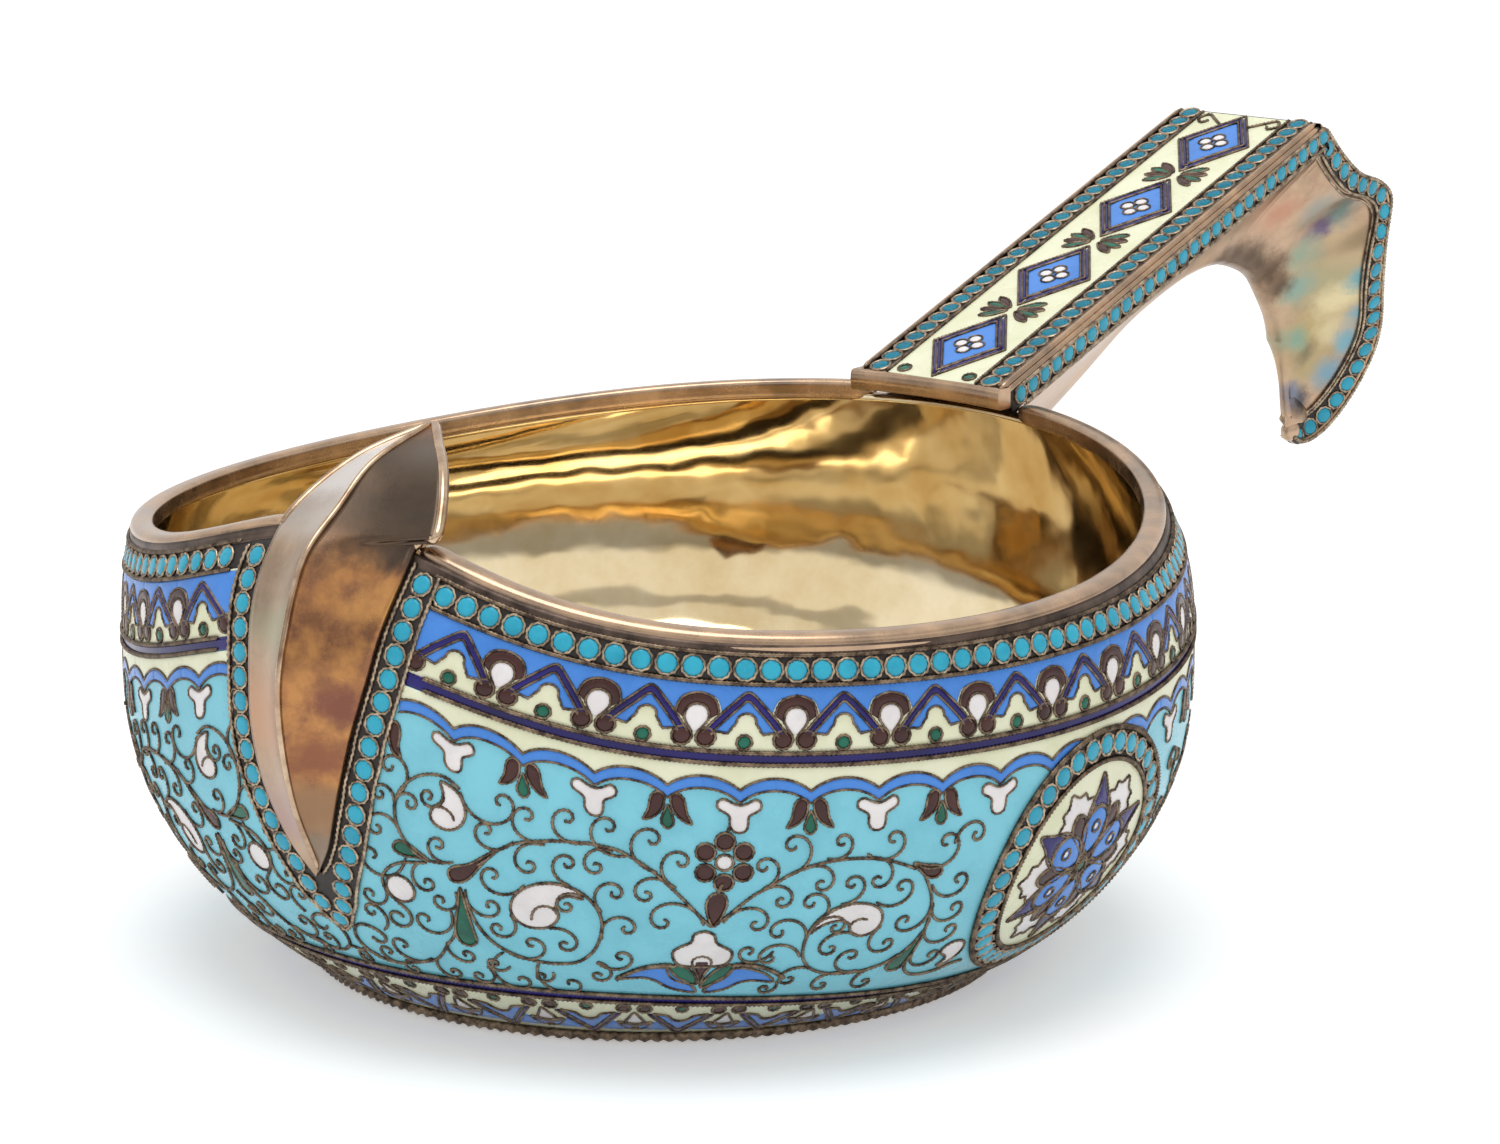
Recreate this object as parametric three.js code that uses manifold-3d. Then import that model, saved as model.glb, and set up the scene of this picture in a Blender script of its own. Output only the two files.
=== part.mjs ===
// A silver-gilt kovsh: a broad dipping bowl with a hollow pointed prow and a raised hook-shaped
// handle, its outside covered with filigree enamel laid in bands, fields and medallions.
// Millimetres, +Z up. The origin is the centre of the flat underside. The prow points to -X, the
// handle to +X. Seen from in front of the prow, -Y is the right side and +Y the left side.
import * as THREE from 'three';
import { mergeVertices } from 'three/addons/utils/BufferGeometryUtils.js';
import Module from 'manifold-3d';

const wasm = await Module();
wasm.setup();

// Layers: the metal wall, the enamel let into its outside, and the clearances between pieces
const wallThickness = 1.0;
const enamelThickness = 0.4;
const seatGap = 0.3;
const bandGap = 0.3;
const cutOverrun = 2;
const mergeDistance = 0.0001;

// Bowl: plan at its widest, plan at the rim, and the profile between foot and rim
const footRadius = 30.3;
const widestHeight = 27.9;
const widestHalfLength = 48.2;
const widestHalfWidth = 50;
const rimTuckLength = 1.7;
const rimTuckWidth = 2.1;
const rimHalfLength = widestHalfLength - rimTuckLength;
const rimHalfWidth = widestHalfWidth - rimTuckWidth;
const shoulderSwell = 0.95;
const prowPinch = 2.9;
const prowPinchAngle = 15;
const hullFullnessShare = 2.36;
const hullRoundnessShare = 0.85;
const tumblehomeShare = 3.6;

// Rim line: it dips at the sides, rises to the handle and sweeps up to the prow
const rimMeanHeight = 41.2;
const sternLift = 1.7;
const endLift = 1.5;
const prowLift = 6.3;
const prowLiftAngle = 25;
const prowRimLine = rimMeanHeight - sternLift + endLift + prowLift;
const sternRimLine = rimMeanHeight + sternLift + endLift;

// Rim moulding and foot wire
const rimMouldingRadius = 1.05;
const rimMouldingInset = 0.85;
const rimMouldingDrop = 0.35;
const footWireRadius = 0.5;
const footWireOutset = 1.75;
const footWireLift = 0.6;

// Enamel bands, measured down from the rim line or up from the flat underside
const beadBandTop = 1.3;
const beadBandBottom = 3.5;
const chevronBandBottom = 9.4;
const cobaltLineBottom = 10.6;
const scallopBandBottom = 13.2;
const lowerLineTop = 7.2;
const lowerLineBottom = 6.2;
const lowerBorderBottom = 1.7;
const sideDipShare = 0.375;

// Medallions on the two sides
const medallionGap = 0.5;
const medallionFrameWidth = 2.75;
const wireRadius = 0.25;

// Prow: two curved faces that meet on a ridge, and the bead border laid round them
const prowHalfWidth = 7.7;
const prowFootHeight = 16.9;
const prowRimDrop = 0.5;
const prowRimHeight = prowRimLine - prowRimDrop;
const prowSheet = 0.6;
const prowStandOff = 0.8;
const prowNarrowingShare = 0.45;
const ridgeProud = 2.8;
const prowTipSetback = 16.8;
const prowTipRise = 7;
const prowTipHeight = prowRimLine + prowTipRise;
const prowEdgeBulge = 0.9;
const prowEdgeLift = 0.7;
const borderHalfWidth = 11.2;
const borderFootHeight = 11.1;
const borderTopDrop = 0.7;
const borderTopHeight = prowRimLine - borderTopDrop;

// Handle: a hollow beam with a flat sloping top, whose sides run in to a round keel below, and
// which ends in a hook that narrows to its tip
const handleRimLap = 3.7;
const handleFrontReach = rimHalfLength - handleRimLap;
const handleSeatRise = 2.1;
const handleFrontHeight = sternRimLine + handleSeatRise;
const handleFrontDepth = 2.2;
const handleRun = 57.5;
const handleRise = 19.5;
const hookOverhang = 17.4;
const hookDrop = 37.4;
const handleHalfWidth = 9;
const handleSheet = 0.8;
const handleMouldingRadius = 0.55;
const handleBeadWidth = 2.1;
const sideBeadWidth = 2.6;
const hookBeadWidth = 3.2;
const sideLean = 0.4;
const sideDishShare = 0.08;
const sideGap = 0.4;
const keelRadius = 2;
const keelTipRadius = 0.4;
const keelSpread = 0.45;
const handleRootGap = 1.9;
const hookTipHalfWidth = 1.2;
const armShare = 0.6;
const keelArmShare = 0.66;
const beadDepthShare = 0.5;
const borderShare = 0.75;

// Facets
const ringSteps = 40;
const prowSteps = 4;
const prowColumns = 4;
const borderColumns = 2;
const fieldRows = 5;
const curveSteps = 18;
const handleSteps = 26;
const sideRows = 4;
const keelRows = 4;
const stripColumns = 14;
const barSides = 8;
const diskRings = 2;
const diskSteps = 24;
const halvings = 18;
const outlineSteps = 60;
const chevronRows = 3;

const silverGilt = { color: 0xa98a5c, roughness: 0.35, metalness: 1 };
const palePolish = { color: 0xb8a48a, roughness: 0.3, metalness: 1 };
const darkSilver = { color: 0x4a4038, roughness: 0.55, metalness: 0.8 };
const beadEnamel = { color: 0x2fa5be, roughness: 0.3, metalness: 0 };
const turquoise = { color: 0x80d0e0, roughness: 0.3, metalness: 0 };
const cornflower = { color: 0x4a87e0, roughness: 0.3, metalness: 0 };
const cobalt = { color: 0x2a2060, roughness: 0.25, metalness: 0 };
const cream = { color: 0xeef0d0, roughness: 0.35, metalness: 0 };

const group = new THREE.Group();

function addMesh(name, geometry, finish) {
  const mesh = new THREE.Mesh(geometry, new THREE.MeshStandardMaterial(finish));
  mesh.name = name;
  group.add(mesh);
}

function radians(degrees) {
  return degrees * Math.PI / 180;
}

function swell(angle, spread) {
  const wrapped = Math.atan2(Math.sin(angle), Math.cos(angle));
  return Math.exp(-((wrapped / radians(spread)) ** 2));
}

// The rim line's height at an angle round the bowl: 0 at the prow, a quarter turn at the right side
function rimHeight(angle) {
  const lift = prowLift * swell(angle, prowLiftAngle);
  return rimMeanHeight - sternLift * Math.cos(angle) + endLift * Math.cos(2 * angle) + lift;
}

function rimPlan(angle, inset) {
  const change = shoulderSwell * Math.cos(3 * angle) + prowPinch * swell(angle, prowPinchAngle);
  const length = rimHalfLength - change - inset;
  const width = rimHalfWidth - change - inset;
  return [-length * Math.cos(angle), -width * Math.sin(angle)];
}

// A point of the bowl's outer surface at an angle and a height above the underside
function hullPoint(angle, height) {
  if (height <= widestHeight) {
    const climb = 1 - (1 - Math.max(height, 0) / widestHeight) ** hullFullnessShare;
    const fullness = climb ** hullRoundnessShare;
    const length = footRadius + (widestHalfLength - footRadius) * fullness;
    const width = footRadius + (widestHalfWidth - footRadius) * fullness;
    return new THREE.Vector3(-length * Math.cos(angle), -width * Math.sin(angle), height);
  }
  const [rimX, rimY] = rimPlan(angle, 0);
  const climb = (height - widestHeight) / (rimHeight(angle) - widestHeight);
  const lean = climb ** tumblehomeShare;
  const wideX = -widestHalfLength * Math.cos(angle);
  const wideY = -widestHalfWidth * Math.sin(angle);
  return new THREE.Vector3(wideX + (rimX - wideX) * lean, wideY + (rimY - wideY) * lean, height);
}

// The same point moved outward along the surface's normal
function hullOffset(angle, height, offset) {
  const turn = 0.01;
  const rise = widestHeight * turn;
  const low = Math.max(height - rise, 0);
  const across = hullPoint(angle + turn, height).sub(hullPoint(angle - turn, height));
  const upward = hullPoint(angle, low + 2 * rise).sub(hullPoint(angle, low));
  const normal = across.cross(upward).normalize();
  return hullPoint(angle, height).addScaledVector(normal, offset);
}

function belowRim(depth) {
  return (angle) => rimHeight(angle) - depth;
}

function aboveFoot(height) {
  return () => height;
}

// The ornament's lower lines dip at the two sides, where the medallions reach down to them
function lowLevel(height) {
  return (angle) => {
    const dip = Math.sin(angle) ** 2;
    return height * (1 - sideDipShare * dip * dip);
  };
}

// The half angle that a width of half so many millimetres covers at the prow
function prowAngle(halfWidth) {
  return Math.asin(halfWidth / widestHalfLength);
}

function prowHalfAngle(height) {
  const climb = (height - prowFootHeight) / (prowRimHeight - prowFootHeight);
  return prowAngle(prowHalfWidth * Math.min(Math.max(climb, 0), 1) ** prowNarrowingShare);
}

function borderHalfAngle(height) {
  const climb = (height - borderFootHeight) / (borderTopHeight - borderFootHeight);
  const remainder = 1 - Math.min(Math.max(climb, 0), 1);
  return prowAngle(borderHalfWidth * (1 - remainder * remainder));
}

function indexedGeometry(points, triangles) {
  const geometry = new THREE.BufferGeometry();
  const values = points.flatMap((point) => [point.x, point.y, point.z]);
  geometry.setAttribute('position', new THREE.Float32BufferAttribute(values, 3));
  geometry.setIndex(triangles);
  geometry.computeVertexNormals();
  return geometry;
}

// A closed slab between two surfaces that share a grid; surface(u, v, side) takes u and v from
// 0 to 1 and side 1 for outside, 0 for inside, and a round slab joins u = 1 to u = 0
function slab(surface, across, along, round) {
  const points = [];
  const triangles = [];
  const columns = round ? across : across + 1;
  const rows = along + 1;
  for (const side of [1, 0]) {
    for (let row = 0; row < rows; row += 1) {
      for (let column = 0; column < columns; column += 1) {
        points.push(surface(column / across, row / along, side));
      }
    }
  }
  const at = (column, row, side) => (side ? 0 : columns * rows) + row * columns + column % columns;
  const quad = (a, b, c, d) => triangles.push(a, b, c, a, c, d);
  for (let column = 0; column < across; column += 1) {
    const next = column + 1;
    for (let row = 0; row < along; row += 1) {
      quad(at(column, row, 1), at(next, row, 1), at(next, row + 1, 1), at(column, row + 1, 1));
      quad(at(column, row, 0), at(column, row + 1, 0), at(next, row + 1, 0), at(next, row, 0));
    }
    quad(at(column, 0, 0), at(next, 0, 0), at(next, 0, 1), at(column, 0, 1));
    quad(at(column, along, 1), at(next, along, 1), at(next, along, 0), at(column, along, 0));
  }
  if (!round) {
    for (let row = 0; row < along; row += 1) {
      quad(at(0, row, 0), at(0, row, 1), at(0, row + 1, 1), at(0, row + 1, 0));
      quad(at(across, row, 1), at(across, row, 0), at(across, row + 1, 0), at(across, row + 1, 1));
    }
  }
  return indexedGeometry(points, triangles);
}

// A round bar along points, capped at both ends
function bar(points, radius) {
  const corners = [];
  for (let side = 0; side < barSides; side += 1) {
    const turn = 2 * Math.PI * side / barSides;
    corners.push(new THREE.Vector2(radius * Math.cos(turn), radius * Math.sin(turn)));
  }
  const steps = points.length - 1;
  const extrudePath = new THREE.CatmullRomCurve3(points);
  return new THREE.ExtrudeGeometry(new THREE.Shape(corners), { steps, extrudePath });
}

// A wire lying proud of the enamel; spot(u, aside, offset) gives the point at a share of its
// length, moved aside along the surface and off it
function wire(spot, steps, round) {
  return slab((u, v, side) => {
    const aside = wireRadius * (2 * v - 1);
    return spot(u, aside, seatGap + 2 * wireRadius * side);
  }, steps, 1, round);
}

function mirrored(geometry) {
  const copy = geometry.clone();
  copy.scale(1, -1, 1);
  const index = copy.getIndex().array;
  for (let corner = 0; corner < index.length; corner += 3) {
    const first = index[corner];
    index[corner] = index[corner + 1];
    index[corner + 1] = first;
  }
  copy.computeVertexNormals();
  return copy;
}

function merged(geometry) {
  const bare = geometry.clone();
  bare.deleteAttribute('normal');
  bare.deleteAttribute('uv');
  const joined = mergeVertices(bare, mergeDistance);
  joined.computeVertexNormals();
  return joined;
}

// A piece of the right side and its mirror image on the left
function addPair(name, geometry, finish) {
  const joined = merged(geometry);
  addMesh(`${name}_right`, joined, finish);
  addMesh(`${name}_left`, mirrored(joined), finish);
}

function toSolid(geometry) {
  const bare = merged(geometry);
  const vertProperties = new Float32Array(bare.getAttribute('position').array);
  const triVerts = new Uint32Array(bare.getIndex().array);
  return new wasm.Manifold(new wasm.Mesh({ numProp: 3, vertProperties, triVerts }));
}

function fromSolid(solid) {
  const mesh = solid.getMesh();
  const geometry = new THREE.BufferGeometry();
  geometry.setAttribute('position', new THREE.BufferAttribute(mesh.vertProperties, 3));
  geometry.setIndex(new THREE.BufferAttribute(mesh.triVerts, 1));
  geometry.computeVertexNormals();
  return geometry;
}

// Columns round the bowl, closer together across the prow border
function ringAngle(share) {
  const prowPart = prowSteps / (prowSteps + ringSteps);
  const border = prowAngle(borderHalfWidth);
  if (share < prowPart) {
    return -border + 2 * border * share / prowPart;
  }
  return border + (2 * Math.PI - 2 * border) * (share - prowPart) / (1 - prowPart);
}

// The bowl's wall in one piece with its flat bottom; its top edge lies under the rim moulding
function bowlShell() {
  const metal = -(enamelThickness + seatGap);
  const columns = ringSteps + prowSteps;
  const heightShares = [0.04, 0.12, 0.24, 0.4, 0.6, 0.83, 1];
  const depths = [cobaltLineBottom];
  for (let row = 0; row <= chevronRows; row += 1) {
    const climb = row / chevronRows;
    depths.push(chevronBandBottom + (beadBandBottom - chevronBandBottom) * climb);
  }
  depths.push(rimMouldingDrop + rimMouldingRadius + seatGap);
  const levels = heightShares.map((share) => aboveFoot(widestHeight * share));
  levels.push(...depths.map((depth) => belowRim(depth)));
  const flatRing = (radius, height) => (angle) => {
    return new THREE.Vector3(-radius * Math.cos(angle), -radius * Math.sin(angle), height);
  };
  const wallRing = (level, offset) => (angle) => hullOffset(angle, level(angle), offset);
  const bottomRadius = footRadius + metal;
  const rings = [flatRing(bottomRadius, 0)];
  rings.push(...levels.map((level) => wallRing(level, metal)));
  rings.push(...levels.reverse().map((level) => wallRing(level, metal - wallThickness)));
  rings.push(flatRing(bottomRadius - wallThickness, wallThickness));
  const points = [];
  const triangles = [];
  for (const ring of rings) {
    for (let column = 0; column < columns; column += 1) {
      points.push(ring(ringAngle(column / columns)));
    }
  }
  for (let row = 0; row + 1 < rings.length; row += 1) {
    for (let column = 0; column < columns; column += 1) {
      const a = row * columns + column;
      const b = row * columns + (column + 1) % columns;
      triangles.push(a, b, b + columns, a, b + columns, a + columns);
    }
  }
  const underside = points.push(new THREE.Vector3(0, 0, 0)) - 1;
  const floor = points.push(new THREE.Vector3(0, 0, wallThickness)) - 1;
  const lastRing = (rings.length - 1) * columns;
  for (let column = 0; column < columns; column += 1) {
    const next = (column + 1) % columns;
    triangles.push(underside, next, column);
    triangles.push(floor, lastRing + column, lastRing + next);
  }
  return indexedGeometry(points, triangles);
}

// A band of enamel that runs all the way round between two low levels
function ringBand(bottom, top) {
  return slab((u, v, side) => {
    const angle = ringAngle(u);
    const height = lowLevel(bottom + (top - bottom) * v)(angle);
    return hullOffset(angle, height, side ? 0 : -enamelThickness);
  }, ringSteps + prowSteps, 1, true);
}

// A band that starts beside the prow border, runs round the back and ends on its other side
function openBand(bottom, top, rows) {
  const border = prowAngle(borderHalfWidth);
  return slab((u, v, side) => {
    const rough = bottom(border) + (top(border) - bottom(border)) * v;
    const start = borderHalfAngle(rough) + prowAngle(bandGap);
    const angle = start + 2 * (Math.PI - start) * u;
    const height = bottom(angle) + (top(angle) - bottom(angle)) * v;
    return hullOffset(angle, height, side ? 0 : -enamelThickness);
  }, ringSteps, rows, false);
}

// Half of the bowl's enamel between the two medallions' middles, round the angle of its middle
function fieldBand(middle, bottom, top, rows) {
  return slab((u, v, side) => {
    const angle = middle + Math.PI * (u - 1 / 2);
    const height = bottom(angle) + (top(angle) - bottom(angle)) * v;
    return hullOffset(angle, height, side ? 0 : -enamelThickness);
  }, ringSteps / 2, rows, false);
}

// The right side's outline as heights with their lengths along it, from the underside to the rim
function sideOutline() {
  const side = Math.PI / 2;
  const rows = [{ height: 0, length: 0 }];
  for (let step = 1; step <= outlineSteps; step += 1) {
    const last = rows[rows.length - 1];
    const height = rimHeight(side) * step / outlineSteps;
    const span = hullPoint(side, height).distanceTo(hullPoint(side, last.height));
    rows.push({ height, length: last.length + span });
  }
  return rows;
}

// One column of the outline's rows at a value of the other
function lookUp(rows, known, value, wanted) {
  const next = rows.findIndex((row, index) => index > 0 && row[known] >= value);
  const [from, to] = [rows[next - 1], rows[next]];
  const share = (value - from[known]) / (to[known] - from[known]);
  return from[wanted] + (to[wanted] - from[wanted]) * share;
}

// A medallion fills the side between the lower and the upper line, with its wire and a clearance
function medallionSize() {
  const side = Math.PI / 2;
  const rows = sideOutline();
  const low = lookUp(rows, 'height', lowLevel(lowerLineTop)(side) + wireRadius, 'length');
  const high = lookUp(rows, 'height', rimHeight(side) - cobaltLineBottom - wireRadius, 'length');
  const frameOuter = (high - low) / 2 - medallionGap - wireRadius;
  return { rows, middle: (high + low) / 2, frameOuter, radius: frameOuter - medallionFrameWidth };
}

const medallion = medallionSize();

// A spot at a distance along the surface from the middle of the right medallion
function medallionSpot(distance, turn, offset) {
  const angle = Math.PI / 2 + distance * Math.cos(turn) / widestHalfWidth;
  const length = medallion.middle + distance * Math.sin(turn);
  return hullOffset(angle, lookUp(medallion.rows, 'length', length, 'height'), offset);
}

function medallionRing(inner, outer, low, high) {
  return slab((u, v, side) => {
    return medallionSpot(inner + (outer - inner) * (1 - v), 2 * Math.PI * u, side ? high : low);
  }, diskSteps, 1, true);
}

function medallionDisk(radius, low, high) {
  const points = [];
  const triangles = [];
  for (const offset of [high, low]) {
    points.push(medallionSpot(0, 0, offset));
    for (let ring = 1; ring <= diskRings; ring += 1) {
      for (let step = 0; step < diskSteps; step += 1) {
        points.push(medallionSpot(radius * ring / diskRings, 2 * Math.PI * step / diskSteps, offset));
      }
    }
  }
  const layer = 1 + diskRings * diskSteps;
  const at = (ring, step) => 1 + (ring - 1) * diskSteps + step % diskSteps;
  const both = (a, b, c) => triangles.push(a, b, c, layer + a, layer + c, layer + b);
  for (let step = 0; step < diskSteps; step += 1) {
    both(0, at(1, step), at(1, step + 1));
    for (let ring = 1; ring < diskRings; ring += 1) {
      both(at(ring, step), at(ring + 1, step), at(ring + 1, step + 1));
      both(at(ring, step), at(ring + 1, step + 1), at(ring, step + 1));
    }
    const a = at(diskRings, step);
    const b = at(diskRings, step + 1);
    triangles.push(a, layer + a, layer + b, a, layer + b, b);
  }
  return indexedGeometry(points, triangles);
}

// The holes that the two medallions' frames leave in the enamel round them
function medallionHoles() {
  const reach = medallion.frameOuter + bandGap;
  const right = medallionDisk(reach, -cutOverrun, cutOverrun);
  return toSolid(right).add(toSolid(mirrored(right)));
}

// The wedge that the prow and its border take out of the enamel round them
function prowHole() {
  const foot = borderFootHeight - bandGap;
  const top = borderTopHeight + cutOverrun;
  return toSolid(slab((u, v, side) => {
    const height = foot + (top - foot) * v;
    const angle = borderHalfAngle(height + bandGap) + prowAngle(bandGap);
    return hullOffset(angle * (2 * u - 1), height, side ? cutOverrun : -cutOverrun);
  }, prowColumns, curveSteps, false));
}

// The thick wire that hides the edge where the wall turns in under the bowl
function footWire() {
  const corners = [[0, -1], [1, 0], [0, 1], [-1, 0]].map(([outward, upward]) => {
    const radius = footRadius + footWireOutset + footWireRadius * outward;
    return new THREE.Vector2(radius, footWireLift + footWireRadius * upward);
  });
  const ring = new THREE.LatheGeometry([...corners, corners[0]], ringSteps);
  ring.rotateX(Math.PI / 2);
  return merged(ring);
}

function addBowl() {
  addMesh('bowl_shell', bowlShell(), silverGilt);
  addMesh('lower_border_band', ringBand(lowerBorderBottom, lowerLineBottom - bandGap), cornflower);
  addMesh('lower_cobalt_line', ringBand(lowerLineBottom, lowerLineTop), cobalt);
  addMesh('foot_wire', footWire(), darkSilver);
}

function addBands() {
  const bead = openBand(belowRim(beadBandBottom), belowRim(beadBandTop + bandGap), 1);
  addMesh('rim_bead_band', bead, beadEnamel);
  const chevronTop = belowRim(beadBandBottom + bandGap);
  const chevron = openBand(belowRim(chevronBandBottom), chevronTop, chevronRows);
  addMesh('chevron_band', chevron, cornflower);
  const lineTop = belowRim(chevronBandBottom + bandGap);
  addMesh('upper_cobalt_line', openBand(belowRim(cobaltLineBottom), lineTop, 1), cobalt);
}

// The creamy scalloped strip and the turquoise fields below it, parted by the medallions
function addFields() {
  const holes = medallionHoles();
  const prow = prowHole();
  const stripBottom = belowRim(scallopBandBottom);
  const stripTop = belowRim(cobaltLineBottom + bandGap);
  const fieldBottom = lowLevel(lowerLineTop + bandGap);
  const fieldTop = belowRim(scallopBandBottom + bandGap);
  const frontStrip = toSolid(fieldBand(0, stripBottom, stripTop, 1)).subtract(holes).subtract(prow);
  const halves = frontStrip.decompose();
  halves.sort((a, b) => a.boundingBox().min[1] - b.boundingBox().min[1]);
  addMesh('front_scallop_strip_right', fromSolid(halves[0]), cream);
  addMesh('front_scallop_strip_left', fromSolid(halves[1]), cream);
  const backStrip = toSolid(fieldBand(Math.PI, stripBottom, stripTop, 1)).subtract(holes);
  addMesh('rear_scallop_strip', fromSolid(backStrip), cream);
  const front = toSolid(fieldBand(0, fieldBottom, fieldTop, fieldRows)).subtract(holes);
  addMesh('front_scroll_field', fromSolid(front.subtract(prow)), turquoise);
  const back = toSolid(fieldBand(Math.PI, fieldBottom, fieldTop, fieldRows)).subtract(holes);
  addMesh('rear_scroll_field', fromSolid(back), turquoise);
}

function addMedallions() {
  const frameInner = medallion.radius + bandGap;
  const frameOuter = medallion.frameOuter;
  addPair('medallion', medallionDisk(medallion.radius, -enamelThickness, 0), cream);
  addPair('medallion_frame', medallionRing(frameInner, frameOuter, -enamelThickness, 0), beadEnamel);
  for (const [name, reach] of [['inner', frameInner], ['outer', frameOuter]]) {
    const spot = (u, aside, offset) => medallionSpot(reach - aside, 2 * Math.PI * u, offset);
    addPair(`medallion_${name}_wire`, wire(spot, diskSteps, true), darkSilver);
  }
}

// The twisted wires along the bands' edges
function addBandWires() {
  const around = { rim_groove_wire: beadBandTop, bead_row_wire: beadBandBottom };
  around.upper_line_top_wire = chevronBandBottom;
  around.upper_line_low_wire = cobaltLineBottom;
  for (const [name, depth] of Object.entries(around)) {
    const height = rimHeight(prowAngle(borderHalfWidth)) - depth;
    const start = borderHalfAngle(height) + prowAngle(2 * wireRadius + seatGap);
    const spot = (u, aside, offset) => {
      const angle = start + 2 * (Math.PI - start) * u;
      return hullOffset(angle, rimHeight(angle) - depth + aside, offset);
    };
    addMesh(name, wire(spot, ringSteps, false), darkSilver);
  }
  const rings = { lower_line_top_wire: lowerLineTop, lower_line_low_wire: lowerLineBottom };
  for (const [name, height] of Object.entries(rings)) {
    const spot = (u, aside, offset) => {
      const angle = 2 * Math.PI * u;
      return hullOffset(angle, lowLevel(height)(angle) + aside, offset);
    };
    addMesh(name, wire(spot, ringSteps, true), darkSilver);
  }
}

// The rolled moulding along the rim, from beside the prow to beside the handle
function addRimMouldings() {
  const prowClear = (prowHalfWidth + rimMouldingRadius + seatGap) / rimHalfLength;
  const handleClear = (handleHalfWidth + rimMouldingRadius + seatGap) / rimHalfLength;
  const start = Math.asin(prowClear);
  const end = Math.PI - Math.asin(handleClear);
  const points = [];
  for (let step = 0; step <= ringSteps / 2; step += 1) {
    const angle = start + (end - start) * 2 * step / ringSteps;
    const [x, y] = rimPlan(angle, rimMouldingInset);
    points.push(new THREE.Vector3(x, y, rimHeight(angle) - rimMouldingDrop));
  }
  addPair('rim_moulding', bar(points, rimMouldingRadius), palePolish);
}

function prowTip() {
  return new THREE.Vector3(prowTipSetback - widestHalfLength, 0, prowTipHeight);
}

// The ridge of the prow, from its foot on the hull to the tip that leans back over the bowl
function prowRidge() {
  const reachShares = [0.79, 0.92, 1, 0.97, 0.83, 0.67, 0.42, 0];
  const heightShares = [0, 0.2, 0.45, 0.59, 0.74, 0.82, 0.91, 1];
  const tip = prowTip();
  const reach = ridgeProud + prowTipSetback;
  const rise = prowTipHeight - prowFootHeight;
  const points = reachShares.map((share, index) => {
    const height = prowFootHeight + rise * heightShares[index];
    return new THREE.Vector3(tip.x - reach * share, 0, height);
  });
  return new THREE.CatmullRomCurve3(points, false, 'centripetal');
}

// The right edge of the prow: along the hull up to the rim, then free up to the tip
function prowEdge() {
  const climbShares = [0, 0.06, 0.15, 0.3, 0.5, 0.75, 1];
  const points = climbShares.map((share) => {
    const height = prowFootHeight + (prowRimHeight - prowFootHeight) * share;
    return hullOffset(prowHalfAngle(height), height, prowStandOff);
  });
  const tip = prowTip();
  const between = points[points.length - 1].clone().lerp(tip, 1 / 2);
  between.y -= prowEdgeBulge;
  between.z += prowEdgeLift;
  points.push(between, tip);
  return new THREE.CatmullRomCurve3(points, false, 'centripetal');
}

// The direction square to the ridge that points into the hollow of the prow
function prowInward(ridge, share) {
  const along = ridge.getTangentAt(share);
  return new THREE.Vector3(along.z, 0, -along.x).normalize();
}

function addProw() {
  const ridge = prowRidge();
  const edge = prowEdge();
  const startShare = 0.03;
  const endShare = 0.985;
  const face = slab((u, v, side) => {
    const share = startShare + (endShare - startShare) * v;
    const from = ridge.getPointAt(share);
    const to = edge.getPointAt(share);
    const sag = prowSheet * Math.sin(Math.PI * u) * Math.sin(Math.PI * v);
    const point = from.clone().lerp(to, u);
    point.y -= seatGap / 2 * (1 - u);
    return point.addScaledVector(prowInward(ridge, share), side ? sag : sag + prowSheet);
  }, prowColumns, curveSteps, false);
  addPair('prow_face', face, silverGilt);
  const rimShare = riseShare(edge, prowRimHeight);
  const back = slab((u, v, side) => {
    const share = rimShare + (endShare - rimShare) * v;
    const right = edge.getPointAt(share);
    const left = right.clone();
    left.y = -right.y;
    const depth = prowSheet + seatGap + side * prowSheet;
    return right.lerp(left, u).addScaledVector(prowInward(ridge, share), depth);
  }, prowColumns, curveSteps / 2, false);
  addMesh('prow_back_plate', back, silverGilt);
  addPair('prow_bead_border', prowBorder(), beadEnamel);
  addProwWires();
}

// The share along a rising curve at which it reaches a height
function riseShare(curve, height) {
  let low = 0;
  let high = 1;
  for (let halving = 0; halving < halvings; halving += 1) {
    const middle = (low + high) / 2;
    const below = curve.getPointAt(middle).z < height;
    low = below ? middle : low;
    high = below ? high : middle;
  }
  return high;
}

// The bead border beside the prow's right face, from its point below up to the rim
function prowBorder() {
  const top = borderTopHeight - beadBandTop - bandGap;
  const outerFoot = borderFootHeight + bandGap;
  const innerFoot = prowFootHeight - bandGap;
  const clear = prowAngle(bandGap / 2);
  return slab((u, v, side) => {
    const innerHeight = innerFoot + (top - innerFoot) * v;
    const outerHeight = outerFoot + (top - outerFoot) * v;
    const innerAngle = prowHalfAngle(innerHeight) + prowAngle(bandGap) * v;
    const outerAngle = borderHalfAngle(outerHeight);
    const angle = innerAngle + (outerAngle - innerAngle) * u;
    const height = innerHeight + (outerHeight - innerHeight) * u;
    return hullOffset(angle + clear, height, side ? 0 : -enamelThickness);
  }, borderColumns, curveSteps, false);
}

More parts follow.
